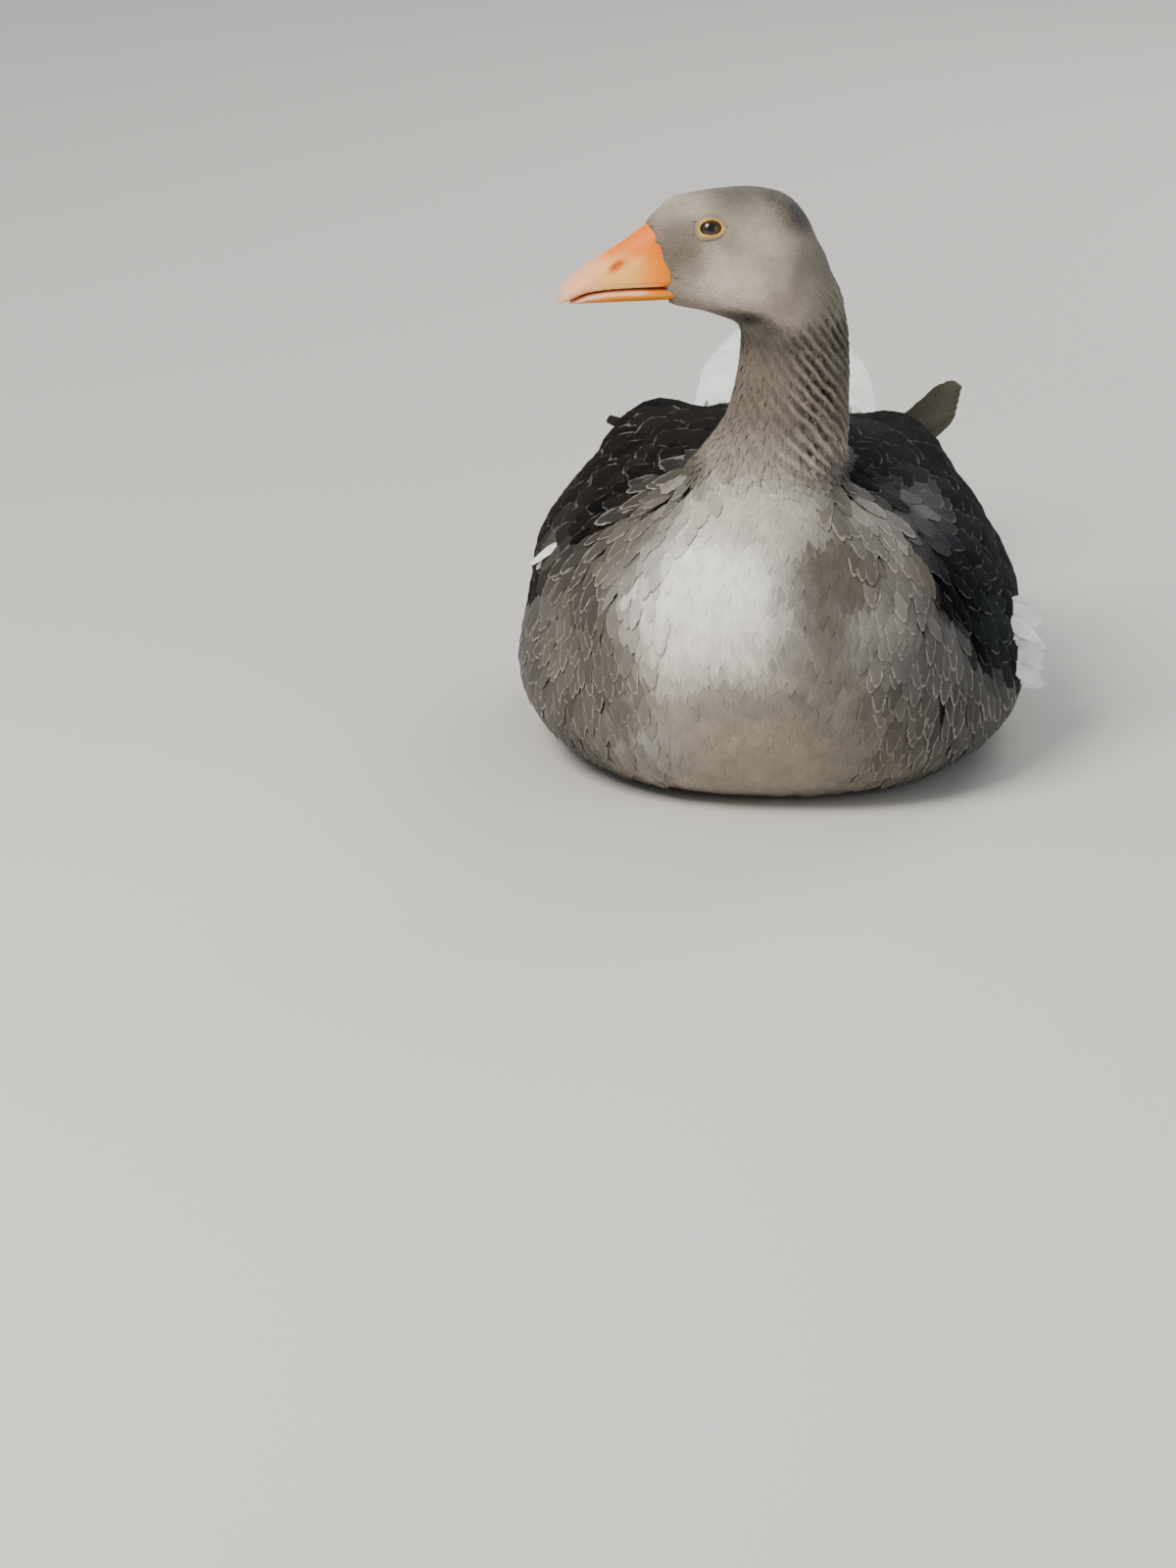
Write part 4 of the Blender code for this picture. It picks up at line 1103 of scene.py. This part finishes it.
for side, word in bothSides:
    for name, look, seed, slot, finish, inside in (
        ("flank_coat_", flankLook, 72, "plumage_pale", contourFinish,
         lambda p: (darkness(p) < 0.5) & (p[:, 1] > flankEdge(p))),
        ("wing_coat_", backLook, 76, "plumage_dark", vaneKeratin, lambda p: darkness(p) >= 0.4),
    ):
        points, triangles = rowsRound(look, side)
        keep = inTrunk(points) & (whiteness(points) < 0.5) & inside(points)
        layCoat(name + word, dressed(points[keep], triangles[keep], look, seed + side), "broad", slot, finish)

# tertials: long dark feathers over the folded wing tips
tertialLook = {
    "rows": ((-0.020, 0.36, 1.30), (-0.004, 0.32, 1.24), (0.012, 0.28, 1.16), (0.028, 0.26, 1.06)),
    "step": 0.115, "axisHeight": 0.09, "length": lambda p: 0.088 - 0.2 * np.clip(p[:, 1], 0, 1),
    "slim": 0.32, "thick": 0.0016,
    "rootShare": 0.75, "tipShare": 1.12, "tipJitter": 0.10, "stray": 0.05, "uneven": 0.06,
    "fringe": "#77736e", "fringeMix": 0.42, "fringeShare": 0.14, "mottle": 0.22, "barb": 0.0016,
    "lieBias": (0.0, 0.0, -0.10), "colour": lambda p: np.tile(linear("#15120f"), (len(p), 1)),
}
for side, word in bothSides:
    points, triangles = [], []
    for row, (y, top, bottom) in enumerate(tertialLook["rows"]):
        for tilt in np.arange(top + 0.5 * tertialLook["step"] * (row % 2), bottom, tertialLook["step"]):
            way = Vector((side * math.sin(tilt), 0, math.cos(tilt)))
            hit = skinTree.ray_cast(Vector((0, y, tertialLook["axisHeight"])), way)
            points.append(tuple(hit[0]))
            triangles.append(hit[2])
    tertials = dressed(np.array(points), np.array(triangles), tertialLook, 90 + side)
    layCoat("tertial_coat_" + word, tertials, "broad", "plumage_dark", vaneKeratin)

# rump, tail coverts and vent
rumpLook = {
    "length": 0.036, "slim": 0.45, "thick": 0.0005, "rootShare": 0.65, "follow": 0.96, "stray": 0.12,
    "fringe": "#f2f2ee", "fringeMix": 0.4, "fringeShare": 0.3, "mottle": 0.03,
}


def inRump(points):
    return inTrunk(points) & (whiteness(points) > 0.35)


sownCoat("rump_coat", rumpLook, "contour", "plumage_white", whiteKeratin, inRump, 0.0085, (81, 82))

# eyes: a wet dark brown ball with a pupil and an iris, and the lids round it
# The cornea is a clear wet layer, so the eye is glossy and shows one small sharp highlight.
eyeFinish, tree, shader = newMaterial("wet cornea over brown iris", {
    "Roughness": 0.07, "IOR": 1.38, "Coat Weight": 0.7, "Coat Roughness": 0.03})
away = addNode(tree, "ShaderNodeAttribute", attribute_name="fromPupil").outputs["Fac"]
spoke = addNode(tree, "ShaderNodeAttribute", attribute_name="spoke").outputs["Vector"]
fibres = addNode(tree, "ShaderNodeTexNoise", {"Vector": spoke, "Scale": 9.0, "Detail": 2.0}).outputs["Fac"]
bent = addNode(tree, "ShaderNodeMath", {0: fibres, 1: 0.0009, 2: away}, operation="MULTIPLY_ADD").outputs[0]
span = addNode(tree, "ShaderNodeMapRange", {0: bent, 1: 0.0, 2: 0.0075}).outputs[0]
iris = addNode(tree, "ShaderNodeValToRGB", {0: span})
stops = ((0.0, "#0c0806"), (0.36, "#0c0806"), (0.41, "#33200f"), (0.60, "#3d2713"),
         (0.72, "#22150b"), (1.0, "#160e08"))
for k, (share, code) in enumerate(stops):
    stop = iris.color_ramp.elements[k] if k < 2 else iris.color_ramp.elements.new(share)
    stop.position = share
    stop.color = rgba(code)
tree.links.new(iris.outputs[0], shader.inputs["Base Color"])

for (centre, out, forward, upward), word in zip(eyeFrames, ("left", "right")):
    points, faces, fromPupil, spokes = [], [], [], []
    rings, around = eyeLook["rings"], eyeLook["around"]
    for r in range(rings + 1):
        polar = math.pi * r / rings
        radius = eyeLook["radius"] - 0.0002 * float(smoothStep(0.5, 1.1, polar))  # the cornea bulges
        for k in range(around):
            turned = 2 * math.pi * k / around
            girth = forward * math.cos(turned) + upward * math.sin(turned)
            points.append(centre + (out * math.cos(polar) + girth * math.sin(polar)) * radius)
            fromPupil.append(radius * math.sin(polar) if polar < math.pi / 2 else radius)
            spokes.append((math.cos(turned), math.sin(turned), 0))
            if r < rings:
                n = (k + 1) % around
                faces.append((r * around + k, (r + 1) * around + k, (r + 1) * around + n, r * around + n))
    ball = meshObject("eyeball_" + word, points, faces, eyeFinish)
    setAttribute(ball.data, "fromPupil", "FLOAT", fromPupil)
    setAttribute(ball.data, "spoke", "FLOAT_VECTOR", spokes)
    faceOutward(ball.data, merge=True)
    putTogether(ball, "eye_brown", "eye_" + word)


def tintFinish(name, roughness, coat, grain, grainMix, bumpDepth, cells=0.0, gloss=0.3):
    material, tree, shader = newMaterial(name, {
        "Roughness": roughness, "Coat Weight": coat, "Coat Roughness": 0.35, "Specular IOR Level": gloss})
    where = addNode(tree, "ShaderNodeTexCoord").outputs["Object"]
    known = {"colour": addNode(tree, "ShaderNodeAttribute", attribute_name="tint").outputs["Color"]}
    known["relief"] = addNode(tree, "ShaderNodeTexNoise",
                              {"Vector": where, "Scale": 1 / grain, "Detail": 4.0}).outputs["Fac"]
    addRows(tree, known, (
        ("shade", "MapRange", None, "relief", 0.3, 0.7, 1 - grainMix, 1 + grainMix),
        ("colour", "Mix", "MULTIPLY", 1.0, "colour", "shade"),
    ))
    if cells:  # scales with dark seams between them
        known["scale"] = addNode(tree, "ShaderNodeTexVoronoi", {"Vector": where, "Scale": 1 / cells},
                                 feature="DISTANCE_TO_EDGE").outputs["Distance"]
        addRows(tree, known, (
            ("relief", "MapRange", None, "scale", 0.0, 0.12),
            ("dark", "MapRange", None, "scale", 0.0, 0.10, 0.55, 1.0),
            ("colour", "Mix", "MULTIPLY", 1.0, "colour", "dark"),
        ))
    paintShader(tree, shader, known["colour"], known["relief"], 0.4, bumpDepth)
    return material


# Bare lid skin is thin, waxy and ochre yellow at the rim, and dulls into the face.
lidFinish = tintFinish("bare eyelid skin", 0.5, 0.1, 0.0009, 0.12, 0.0002)
lidLook = {
    "openAhead": 0.0059, "openUp": 0.0041, "outAhead": 0.0090, "outUp": 0.0070, "corner": 0.0018,
    "rim": "#d3a552", "middle": "#a8875a", "around": 72,
    "profile": ((0.0, -0.0006), (0.0, 0.0001), (0.05, 0.00045), (0.16, 0.0007), (0.28, 0.00055), (0.38, 0.00025),
                (0.48, 0.0004), (0.58, 0.0004), (0.68, 0.00015), (0.80, 0.00025), (0.92, 0.0001), (1.0, -0.0004),
                (1.0, -0.0012), (0.5, -0.0018)),  # share of the way out, and rise, in metres
}
for (centre, out, forward, upward), word in zip(eyeFrames, ("left", "right")):
    points, tints = [], []
    count, wide = lidLook["around"], len(lidLook["profile"])
    for k in range(count):
        turned = 2 * math.pi * k / count
        c, s = math.cos(turned), math.sin(turned)
        gap = (turned + 0.75 + math.pi) % (2 * math.pi) - math.pi
        corner = lidLook["corner"] * math.exp(-(gap / 0.45) ** 2)
        openAhead, openUp = lidLook["openAhead"] + 0.4 * corner, lidLook["openUp"]
        inside = 1 / math.hypot(c / openAhead, s / openUp)
        outside = 1 / math.hypot(c / lidLook["outAhead"], s / lidLook["outUp"]) + corner
        away = forward * c + upward * s
        start = centre + away * inside + out * math.sqrt(eyeLook["radius"] ** 2 - inside ** 2)
        ray = Vector(centre + away * outside + out * 0.02)
        hit = skinTree.ray_cast(ray, Vector(-out))
        stop = np.array(hit[0]) if hit[0] is not None else start
        stop = stop + out * 0.0007
        edge = plumage(np.array([stop]))[0]
        for share, rise in lidLook["profile"]:
            arch = 0.0006 * math.sin(math.pi * share)
            points.append(start + (stop - start) * share + out * (rise + arch))
            base = blend(linear(lidLook["rim"]), linear(lidLook["middle"]), smoothStep(0.12, 0.45, share))
            tints.append(blend(base, edge, smoothStep(0.45, 0.95, share)))
    faces = []
    for k in range(count):
        n = (k + 1) % count
        for j in range(wide):
            m = (j + 1) % wide
            faces.append((k * wide + j, n * wide + j, n * wide + m, k * wide + m))
    lids = meshObject("eyelids_" + word, points, faces, lidFinish)
    setAttribute(lids.data, "tint", "FLOAT_COLOR", np.array(tints))
    faceOutward(lids.data)
    putTogether(lids, "bill_orange")
print("stage: eyes and lids")

# bill: place forward of its base, half width, culmen, widest line and edge, in centimetres
upperRows = (
    (-1.60, 1.10, 2.20, -0.40, -0.95), (-0.30, 1.40, 2.72, -0.45, -0.98), (0.60, 1.42, 2.74, -0.48, -1.00),
    (1.40, 1.37, 2.30, -0.52, -1.02), (2.30, 1.29, 1.64, -0.60, -1.05), (3.40, 1.20, 0.92, -0.72, -1.12),
    (4.50, 1.12, 0.22, -0.92, -1.28), (5.20, 1.02, -0.34, -1.22, -1.58), (5.65, 0.84, -0.82, -1.48, -1.82),
    (5.92, 0.52, -1.20, -1.65, -1.96), (6.02, 0.18, -1.48, -1.74, -1.98),
)
lowerRows = (
    (-1.60, 1.00, -0.94, -1.18, -1.55), (-0.30, 1.33, -0.96, -1.30, -1.76), (0.90, 1.34, -0.99, -1.36, -1.82),
    (2.30, 1.22, -1.03, -1.42, -1.86), (3.40, 1.12, -1.10, -1.50, -1.89), (4.40, 0.98, -1.26, -1.60, -1.92),
    (5.00, 0.78, -1.50, -1.75, -1.95), (5.40, 0.42, -1.74, -1.86, -1.97),
)
# Bill horn is a thin keratin sheath over bone: satin, slightly translucent, orange with a pinkish tip.
hornFinish = tintFinish("goose bill horn", 0.42, 0.0, 0.003, 0.06, 0.0002, 0.0, 0.15)
billLook = {
    "base": "#ff8c00", "middle": "#ffbc60", "tip": "#ffb68c", "nail": "#f0bd9c", "nostril": "#a35420",
    # The tone named light is a painted highlight, laid in a band below the nostril.
    "strip": "#fbc68a", "mouth": "#a8481c", "light": "#fdb56a", "culmen": "#f97a14", "nostrilRim": "#e07428",
    "under": "#de8420", "underTip": "#ee8f5c", "underStrip": "#f6cba4",
    "nostrilAt": (2.83, 0.35), "nostrilSize": (0.50, 0.21), "nostrilSlope": -0.58,
    "nailAt": 5.62, "nailSize": 0.66,
}


def billRings(rows, powers, around, steps):
    points = []
    table = curveThrough(rows, steps)
    for x, halfWidth, top, widest, low in table:  # a rounded box whose upper and lower halves differ
        for k in range(around):
            c, s = math.cos(2 * math.pi * k / around), math.sin(2 * math.pi * k / around)
            power = 2 / powers[0 if s >= 0 else 1]
            y = math.copysign(abs(c) ** power, c) * halfWidth
            z = widest + math.copysign(abs(s) ** power, s) * ((top - widest) if s >= 0 else (widest - low))
            points.append((x, y, z))
    return np.array(points), tubeFaces(len(table), around), np.repeat(table[:, 4], around)


def nostrilReach(local):  # 1 on the nostril's outline, and the place along and across it
    ahead, rise = local[:, 0] - billLook["nostrilAt"][0], local[:, 2] - billLook["nostrilAt"][1]
    c, s = math.cos(billLook["nostrilSlope"]), math.sin(billLook["nostrilSlope"])
    along, across = ahead * c + rise * s, rise * c - ahead * s
    length, height = billLook["nostrilSize"]
    return np.hypot(along / length, across / height), along, across


def nailReach(x, y):
    return np.hypot((x - billLook["nailAt"]) / billLook["nailSize"], y / billLook["nailSize"])


def upperRelief(local, edge):  # in centimetres
    x, y, z = local.T
    reach, along, across = nostrilReach(local)
    relief = -0.17 * (1 - smoothStep(0.25, 1.0, reach)) + 0.035 * np.exp(-((reach - 1.2) / 0.28) ** 2)
    relief -= 0.05 * (1 - smoothStep(0.5, 1.2, np.hypot(along / 1.7, across / 0.62)))
    strip = smoothStep(-0.2, 0.2, x) * smoothStep(4.9, 4.3, x)
    relief -= 0.030 * np.exp(-((z - edge - 0.34) / 0.05) ** 2) * strip
    relief += 0.012 * np.sin(2 * math.pi * x / 0.17) * np.exp(-((z - edge - 0.05) / 0.07) ** 2) * strip
    nail = nailReach(x, y)
    raised = 0.035 * (1 - smoothStep(0.80, 1.0, nail)) - 0.02 * np.exp(-((nail - 1.04) / 0.07) ** 2)
    relief += raised * (z > edge + 0.1)
    relief += 0.006 * np.sin(2 * math.pi * x / 0.16) * smoothStep(1.2, 0.2, x)
    return relief


def layered(base, layers):  # bill colours laid one over another, each by its own share
    for name, share in layers:
        base = blend(base, linear(billLook[name]), share)
    return base


def upperTint(local, edge):
    x, y, z = local.T
    rise = z - edge
    reach, along, across = nostrilReach(local)
    # a painted highlight in a band below the nostril
    highlightBand = np.exp(-((across + 0.42) / 0.14) ** 2) * smoothStep(1.9, 1.1, np.abs(along))
    strip = smoothStep(0.2, 0.7, x) * smoothStep(4.4, 3.8, x)
    return layered(np.tile(linear(billLook["base"]), (len(x), 1)), (
        ("middle", smoothStep(0.4, 2.4, x)),
        ("tip", smoothStep(2.6, 4.9, x) * 0.9),
        ("culmen", 0.9 * smoothStep(0.1, 1.1, rise - 1.2) * smoothStep(4.6, 3.0, x)),
        ("light", 0.55 * highlightBand),
        ("nostril", 0.95 * (1 - smoothStep(0.55, 1.05, reach))),
        ("nostrilRim", 0.6 * (1 - smoothStep(1.0, 1.7, reach))),
        ("strip", 0.8 * strip * smoothStep(0.36, 0.28, rise) * smoothStep(0.03, 0.10, rise)),
        ("mouth", 0.85 * smoothStep(0.07, 0.0, rise)),
        ("nail", 0.85 * (1 - smoothStep(0.85, 1.1, nailReach(x, y)))),
    ))


def lowerTint(local, _):
    x, z = local[:, 0], local[:, 2]
    below = np.interp(x, np.array(lowerRows)[:, 0], np.array(lowerRows)[:, 2]) - z
    return layered(np.tile(linear(billLook["under"]), (len(x), 1)), (
        ("underTip", smoothStep(2.5, 4.8, x)),
        ("underStrip", 0.85 * smoothStep(0.8, 1.6, x) * smoothStep(0.34, 0.22, below)),
        ("mouth", 0.85 * smoothStep(0.10, 0.03, below)),
    ))


for name, rows, powers, around, relief, tint in (
    ("bill_upper_horn", upperRows, (1.75, 2.6), 96, upperRelief, upperTint),
    ("bill_lower_horn", lowerRows, (2.6, 1.9), 64, None, lowerTint),
):
    local, faces, edge = billRings(rows, powers, around, 9)
    points = fromHead(local * 0.01)
    half = meshObject(name, points, faces, hornFinish)
    if relief:
        normals = readPoints(half.data, "vertex_normals", "vector")
        movePoints(half.data, points + normals * relief(local, edge)[:, None] * 0.01)
    setAttribute(half.data, "tint", "FLOAT_COLOR", tint(local, edge))
    putTogether(half, "bill_orange", name[:-5])
print("stage: bill")

# quills of the wings and tail: long vanes, each with its own line
quillFields = ("along", "across", "fringeShare", "barbs", "crest", "furrow")


class QuillBundle:
    def __init__(self, total):
        self.points, self.faces, self.maps, self.total, self.made = [], [], [], total, 0
        self.values = {label: [] for label in (*quillFields, "plumage", "fringe")}

    def add(self, line, side, width, look, seed, rows=24, columns=6, outward=(0, 0, 1)):
        rng = np.random.default_rng(seed)
        line = curveThrough(line, 8)
        shares = np.linspace(0, 1, len(line))
        stations = np.linspace(0, 1, rows + 1) ** 0.9
        centre = np.stack([np.interp(stations, shares, line[:, k]) for k in range(3)], axis=1)
        along = unit(np.gradient(centre, axis=0))
        side = unit(np.asarray(side, float) - along * (along @ np.asarray(side, float))[:, None])
        normal = np.cross(side, along)
        normal *= np.where(normal @ np.asarray(outward, float) < 0, -1, 1)[:, None]
        outline = np.interp(stations, look["outlineAt"], look["outline"])
        length = np.linalg.norm(np.diff(centre, axis=0), axis=1).sum()
        start, wide = len(self.points), 2 * columns
        across = np.linspace(-1, 1, columns + 1)
        around = [(u, 1) for u in across] + [(u, 0) for u in across[-2:0:-1]]
        clump = 0
        for r, t in enumerate(stations):
            clump = rng.uniform(-1, 1) if rng.random() < 0.4 else clump
            for u, upper in around:
                vane = look["inner"] if u > 0 else look["outer"]
                reach = 0.5 * width * outline[r] * u * vane * (1 + look["ragged"] * clump * (abs(u) == 1))
                shaft = look["shaft"] * (u == 0)
                rise = look["camber"] * (1 - u * u) * min(1, 3 * outline[r]) + shaft * (1 - 0.7 * t)
                rise = rise if upper else rise - 0.0004 - 1.5 * shaft
                back = -0.10 * width * u * u * (t > 0.2)
                self.points.append(centre[r] + side[r] * reach + normal[r] * rise + along[r] * back)
                self.values["along"].append(t)
                self.values["across"].append(u)
                column = self.made + 0.5 + 0.22 * u + (0.24 if upper else -0.24)
                self.maps.append((column / self.total, 0.02 + 0.96 * t))
        self.faces += tubeFaces(rows + 1, wide, start)
        count = (rows + 1) * wide
        shade = 1 + look["mottle"] * rng.normal()
        base = linear(look["colour"]) * shade
        ends = np.repeat(stations, wide)[:, None]
        self.values["plumage"] += list(np.clip(base + (linear(look["tipColour"]) * shade - base) * ends, 0, 0.95))
        same = {"fringe": linear(look["fringe"]), "fringeShare": look["fringeShare"], "barbs": length / 0.0011,
                "crest": 0, "furrow": 0}
        for label, value in same.items():
            self.values[label] += [value] * count
        self.made += 1

    def finish(self, name, finish, slot, *nodes):
        obj = meshObject(name, self.points, self.faces, finish)
        rimmed = np.abs(self.values["across"]) == 1
        sharp = [bool(rimmed[a] and rimmed[b]) for a, b in obj.data.edge_keys]
        obj.data.edges.foreach_set("use_edge_sharp", sharp)
        for label in quillFields:
            setAttribute(obj.data, label, "FLOAT", self.values[label])
        for label in ("plumage", "fringe"):
            setAttribute(obj.data, label, "FLOAT_COLOR", np.array(self.values[label]))
        layer = obj.data.uv_layers.new(name="OFBake")
        for loop in obj.data.loops:
            layer.data[loop.index].uv = self.maps[loop.vertex_index]
        faceOutward(obj.data)
        putTogether(obj, slot, *nodes)
        print(f"stage: {name}, {self.made} quills")


tailLook = {
    "colour": "#f0f0ed", "tipColour": "#f8f8f6", "fringe": "#fbfbfa", "fringeShare": 0.2, "mottle": 0.03,
    "outlineAt": (0, 0.25, 0.6, 0.85, 0.95, 1), "outline": (0.45, 0.8, 1.0, 0.92, 0.62, 0.12),
    "inner": 1.0, "outer": 1.0, "camber": 0.0022, "shaft": 0.0005, "ragged": 0.06,
    "count": 16, "width": 0.030, "ring": 18,
}
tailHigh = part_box("tail")[1]
tailTip = np.array((-0.002, tailHigh.y - 0.002, 0.1670))
tailRoot = np.array((0.001, 0.110, 0.112))
tailWay = unit(tailTip - tailRoot)
tailLength = np.linalg.norm(tailTip - tailRoot)
tailOut = np.array((0.0, -tailWay[2], tailWay[1]))
tail = QuillBundle(tailLook["count"] + 24 + 2 * tailLook["ring"])
order = sorted(range(tailLook["count"]), key=lambda k: -abs(k - 7.5))
for layer, k in enumerate(order):
    u = (k - 7.5) / 7.5
    reach = 1 - 0.17 * abs(u) ** 3
    rise = 0.0012 * (layer % 2) + 0.0022 * layer / 16
    tip = tailRoot + tailWay * tailLength * reach + (0.004 + 0.035 * u, 0, -0.003 * abs(u) ** 1.5) + tailOut * rise
    root = tailRoot + np.array((0.004 + 0.036 * u, 0.004, -0.006 * abs(u))) + tailOut * (rise - 0.004)
    middle = (root + tip) / 2 + np.array((0.006 * u, 0, 0)) + tailOut * 0.002
    tail.add((root, middle, tip), (1, 0, -0.30 * u), tailLook["width"], tailLook, 300 + k)
for row, (count, start, length) in enumerate(((9, 0.030, 0.062), (8, 0.014, 0.056), (7, -0.004, 0.050))):
    for k in range(count):
        u = (2 * k + 1) / count - 1
        spread = (0.040 + 0.004 * row) * u
        root = tailRoot + tailWay * start + (0.004 + spread, 0, -0.010 * u * u) + tailOut * (0.004 + 0.001 * row)
        tip = root + tailWay * (length * (1 - 0.15 * u * u)) + (0.10 * spread, 0, 0)
        tip = tip + tailOut * (0.0005 + 0.001 * row)
        middle = (root + tip) / 2 + tailOut * 0.002
        tail.add((root, middle, tip), (1, 0, -0.4 * u), 0.022, tailLook, 340 + 10 * row + k, 12)
for row, (start, reach) in enumerate(((0.016, 0.066), (-0.008, 0.044))):  # coverts all round the tail's root
    for k in range(tailLook["ring"]):
        turned = 2 * math.pi * (k + 0.5 * row) / tailLook["ring"]
        c, s = math.cos(turned), math.sin(turned)
        away = np.array((0.049 * c, 0, 0)) + tailOut * (0.0135 * s + 0.002 * row)
        root = tailRoot + tailWay * start + (0.004, 0, -0.006 * c * c) + 0.80 * away
        tip = tailRoot + tailWay * reach + (0.004, 0, -0.006 * c * c) + (0.97 - 0.02 * row) * away
        middle = (root + tip) / 2 + 0.05 * away
        across = np.array((-s, 0, 0)) + tailOut * c
        tail.add((root, middle, tip), across, 0.018, tailLook, 380 + 20 * row + k, 10, 4, outward=away)
tail.finish("tail_quills", whiteKeratin, "plumage_white", "tail")

primaryLook = {
    "colour": "#1f1d1a", "tipColour": "#25221e", "fringe": "#3a3631", "fringeShare": 0.12, "mottle": 0.10,
    "outlineAt": (0, 0.3, 0.7, 0.9, 0.97, 1), "outline": (0.6, 0.9, 1.0, 0.75, 0.42, 0.08),
    "inner": 1.3, "outer": 0.7, "camber": 0.0016, "shaft": 0.0006, "ragged": 0.05,
}
for side, word in bothSides:
    worn = {**primaryLook, "tipColour": "#5b5a4c"} if side > 0 else primaryLook  # the left tips are bleached
    drop = 0.0 if side > 0 else -0.032
    out, far = (0.1115, 0.130) if side > 0 else (0.0920, 0.158)
    wing = QuillBundle(6)
    for k in range(5):
        share = k / 4
        start = np.array((side * (0.062 + 0.003 * share), -0.004, 0.150 + drop - 0.006 * share))
        end = np.array((side * (out - 0.004 * share), far - 0.026 * share, 0.1565 + drop - 0.010 * share))
        bend = (start + end) / 2 + np.array((side * 0.002, 0, 0.001))
        wing.add((start, bend, end), (-0.3 * side, 0, 1), 0.017, worn, 400 + k + 20 * side,
                 outward=(side, -0.4, 0.3))
    if side < 0:  # one tertial tip stands out from the right wing
        line = ((-0.060, -0.020, 0.150), (-0.080, 0.014, 0.157), (-0.1000, 0.044, 0.1570))
        wing.add(line, (-1, 0.3, -0.1), 0.014, worn, 431)
    wing.finish("wing_quills_" + word, vaneKeratin, "plumage_dark", "wingtip_" + word)

# loose white plumes: the tuft on the left flank and a small curled feather on the right wing
tuftLook = {
    "length": 0.032, "slim": 0.36, "thick": 0.0007, "rootShare": 0.9, "tipShare": 1.4, "tipJitter": 0.2,
    "follow": 0.30, "stray": 0.34, "uneven": 0.25, "fringe": "#fbfbfa", "fringeMix": 0.5, "fringeShare": 0.4,
    "raise": 0.85, "mottle": 0.02, "lieBias": (0.0, -0.38, 0.10),
    "colour": lambda p: np.tile(linear("#f4f4f1"), (len(p), 1)),
}


def inTuft(points):
    return np.linalg.norm((points - (0.142, -0.118, 0.069)) / (0.03, 0.024, 0.022), axis=1) < 1


sownCoat("flank_plumes_left", tuftLook, "contour", "plumage_white", whiteKeratin, inTuft, 0.0054, (86, 88))
plumeLook = {
    "colour": "#ecece8", "tipColour": "#f8f8f6", "fringe": "#fbfbfa", "fringeShare": 0.4, "mottle": 0.02,
    "outlineAt": (0, 0.2, 0.5, 0.8, 0.93, 1), "outline": (0.35, 0.75, 1.0, 0.8, 0.5, 0.08),
    "inner": 1.0, "outer": 1.0, "camber": 0.0015, "shaft": 0.0003, "ragged": 0.30,
}
curled = QuillBundle(2)
for line, width, seed in (
    (((-0.113, -0.143, 0.1310), (-0.127, -0.140, 0.1250), (-0.1400, -0.130, 0.1125)), 0.007, 601),
    (((-0.115, -0.137, 0.1290), (-0.127, -0.136, 0.1210), (-0.1360, -0.127, 0.1090)), 0.006, 602),
):
    curled.add(line, (0.3, 1, 0.9), width, plumeLook, seed, 12, 4, outward=(-0.7, -0.4, 0.6))
curled.finish("curled_feather", whiteKeratin, "plumage_white")

# legs: scaled orange skin with horn claws, folded under the belly
legFinish = tintFinish("scaled goose leg skin", 0.55, 0.1, 0.002, 0.10, 0.0005, 0.0028)
clawFinish = tintFinish("claw horn", 0.38, 0.2, 0.0012, 0.10, 0.0001)
legLook = {
    "voxel": 0.0012, "grow": 0.0003, "rounds": 3, "colour": "#d9803f", "web": "#c9713b", "claw": "#6d5a48",
    "toeDegrees": (-24, 1, 27), "toeLengths": (0.070, 0.082, 0.066), "joint": (0.062, -0.066), "turn": 8,
    "clawLength": 0.012, "clawRadius": 0.0032, "clawRings": 9, "clawAround": 12,
}
for side, word in bothSides:
    nodes = ("foot_" + word, "shank_" + word)
    leg = joinedNodes("leg_" + word, {node: legLook["grow"] for node in nodes})
    smoothed(leg, legLook["rounds"], legLook["voxel"])
    points = readPoints(leg.data)
    points[:, 2] = np.maximum(points[:, 2], 0)
    movePoints(leg.data, points)
    finishMesh(leg.data, legFinish)
    web = smoothStep(0.006, 0.002, points[:, 2])
    tints = blend(np.tile(linear(legLook["colour"]), (len(points), 1)), linear(legLook["web"]), web)
    setAttribute(leg.data, "tint", "FLOAT_COLOR", tints)
    putTogether(leg, "leg_orange", *nodes)
    points, faces = [], []
    rings, around = legLook["clawRings"], legLook["clawAround"]
    joint = np.array((side * legLook["joint"][0], legLook["joint"][1], 0))
    for degrees, length in zip(legLook["toeDegrees"], legLook["toeLengths"]):
        angle = math.radians(degrees + legLook["turn"])
        way = np.array((side * math.sin(angle), -math.cos(angle), 0))
        across = np.array((way[1], -way[0], 0))
        faces += tubeFaces(rings, around, len(points))
        for t in np.linspace(0, 1, rings):
            centre = joint + way * (length - 0.001 + legLook["clawLength"] * t)
            centre = centre + (0, 0, 0.0042 - 0.0030 * t * t)
            radius = legLook["clawRadius"] * (1 - t) ** 0.7 + 0.0003
            for turned in 2 * math.pi * np.arange(around) / around:
                point = centre + (across * math.cos(turned) + headUp * math.sin(turned)) * radius
                points.append((*point[:2], max(point[2], 0.0001)))
    claws = meshObject("claws_" + word, points, faces, clawFinish)
    faceOutward(claws.data)
    setAttribute(claws.data, "tint", "FLOAT_COLOR", np.tile(linear(legLook["claw"]), (len(points), 1)))
    putTogether(claws, "leg_orange")
print("stage: legs and claws")
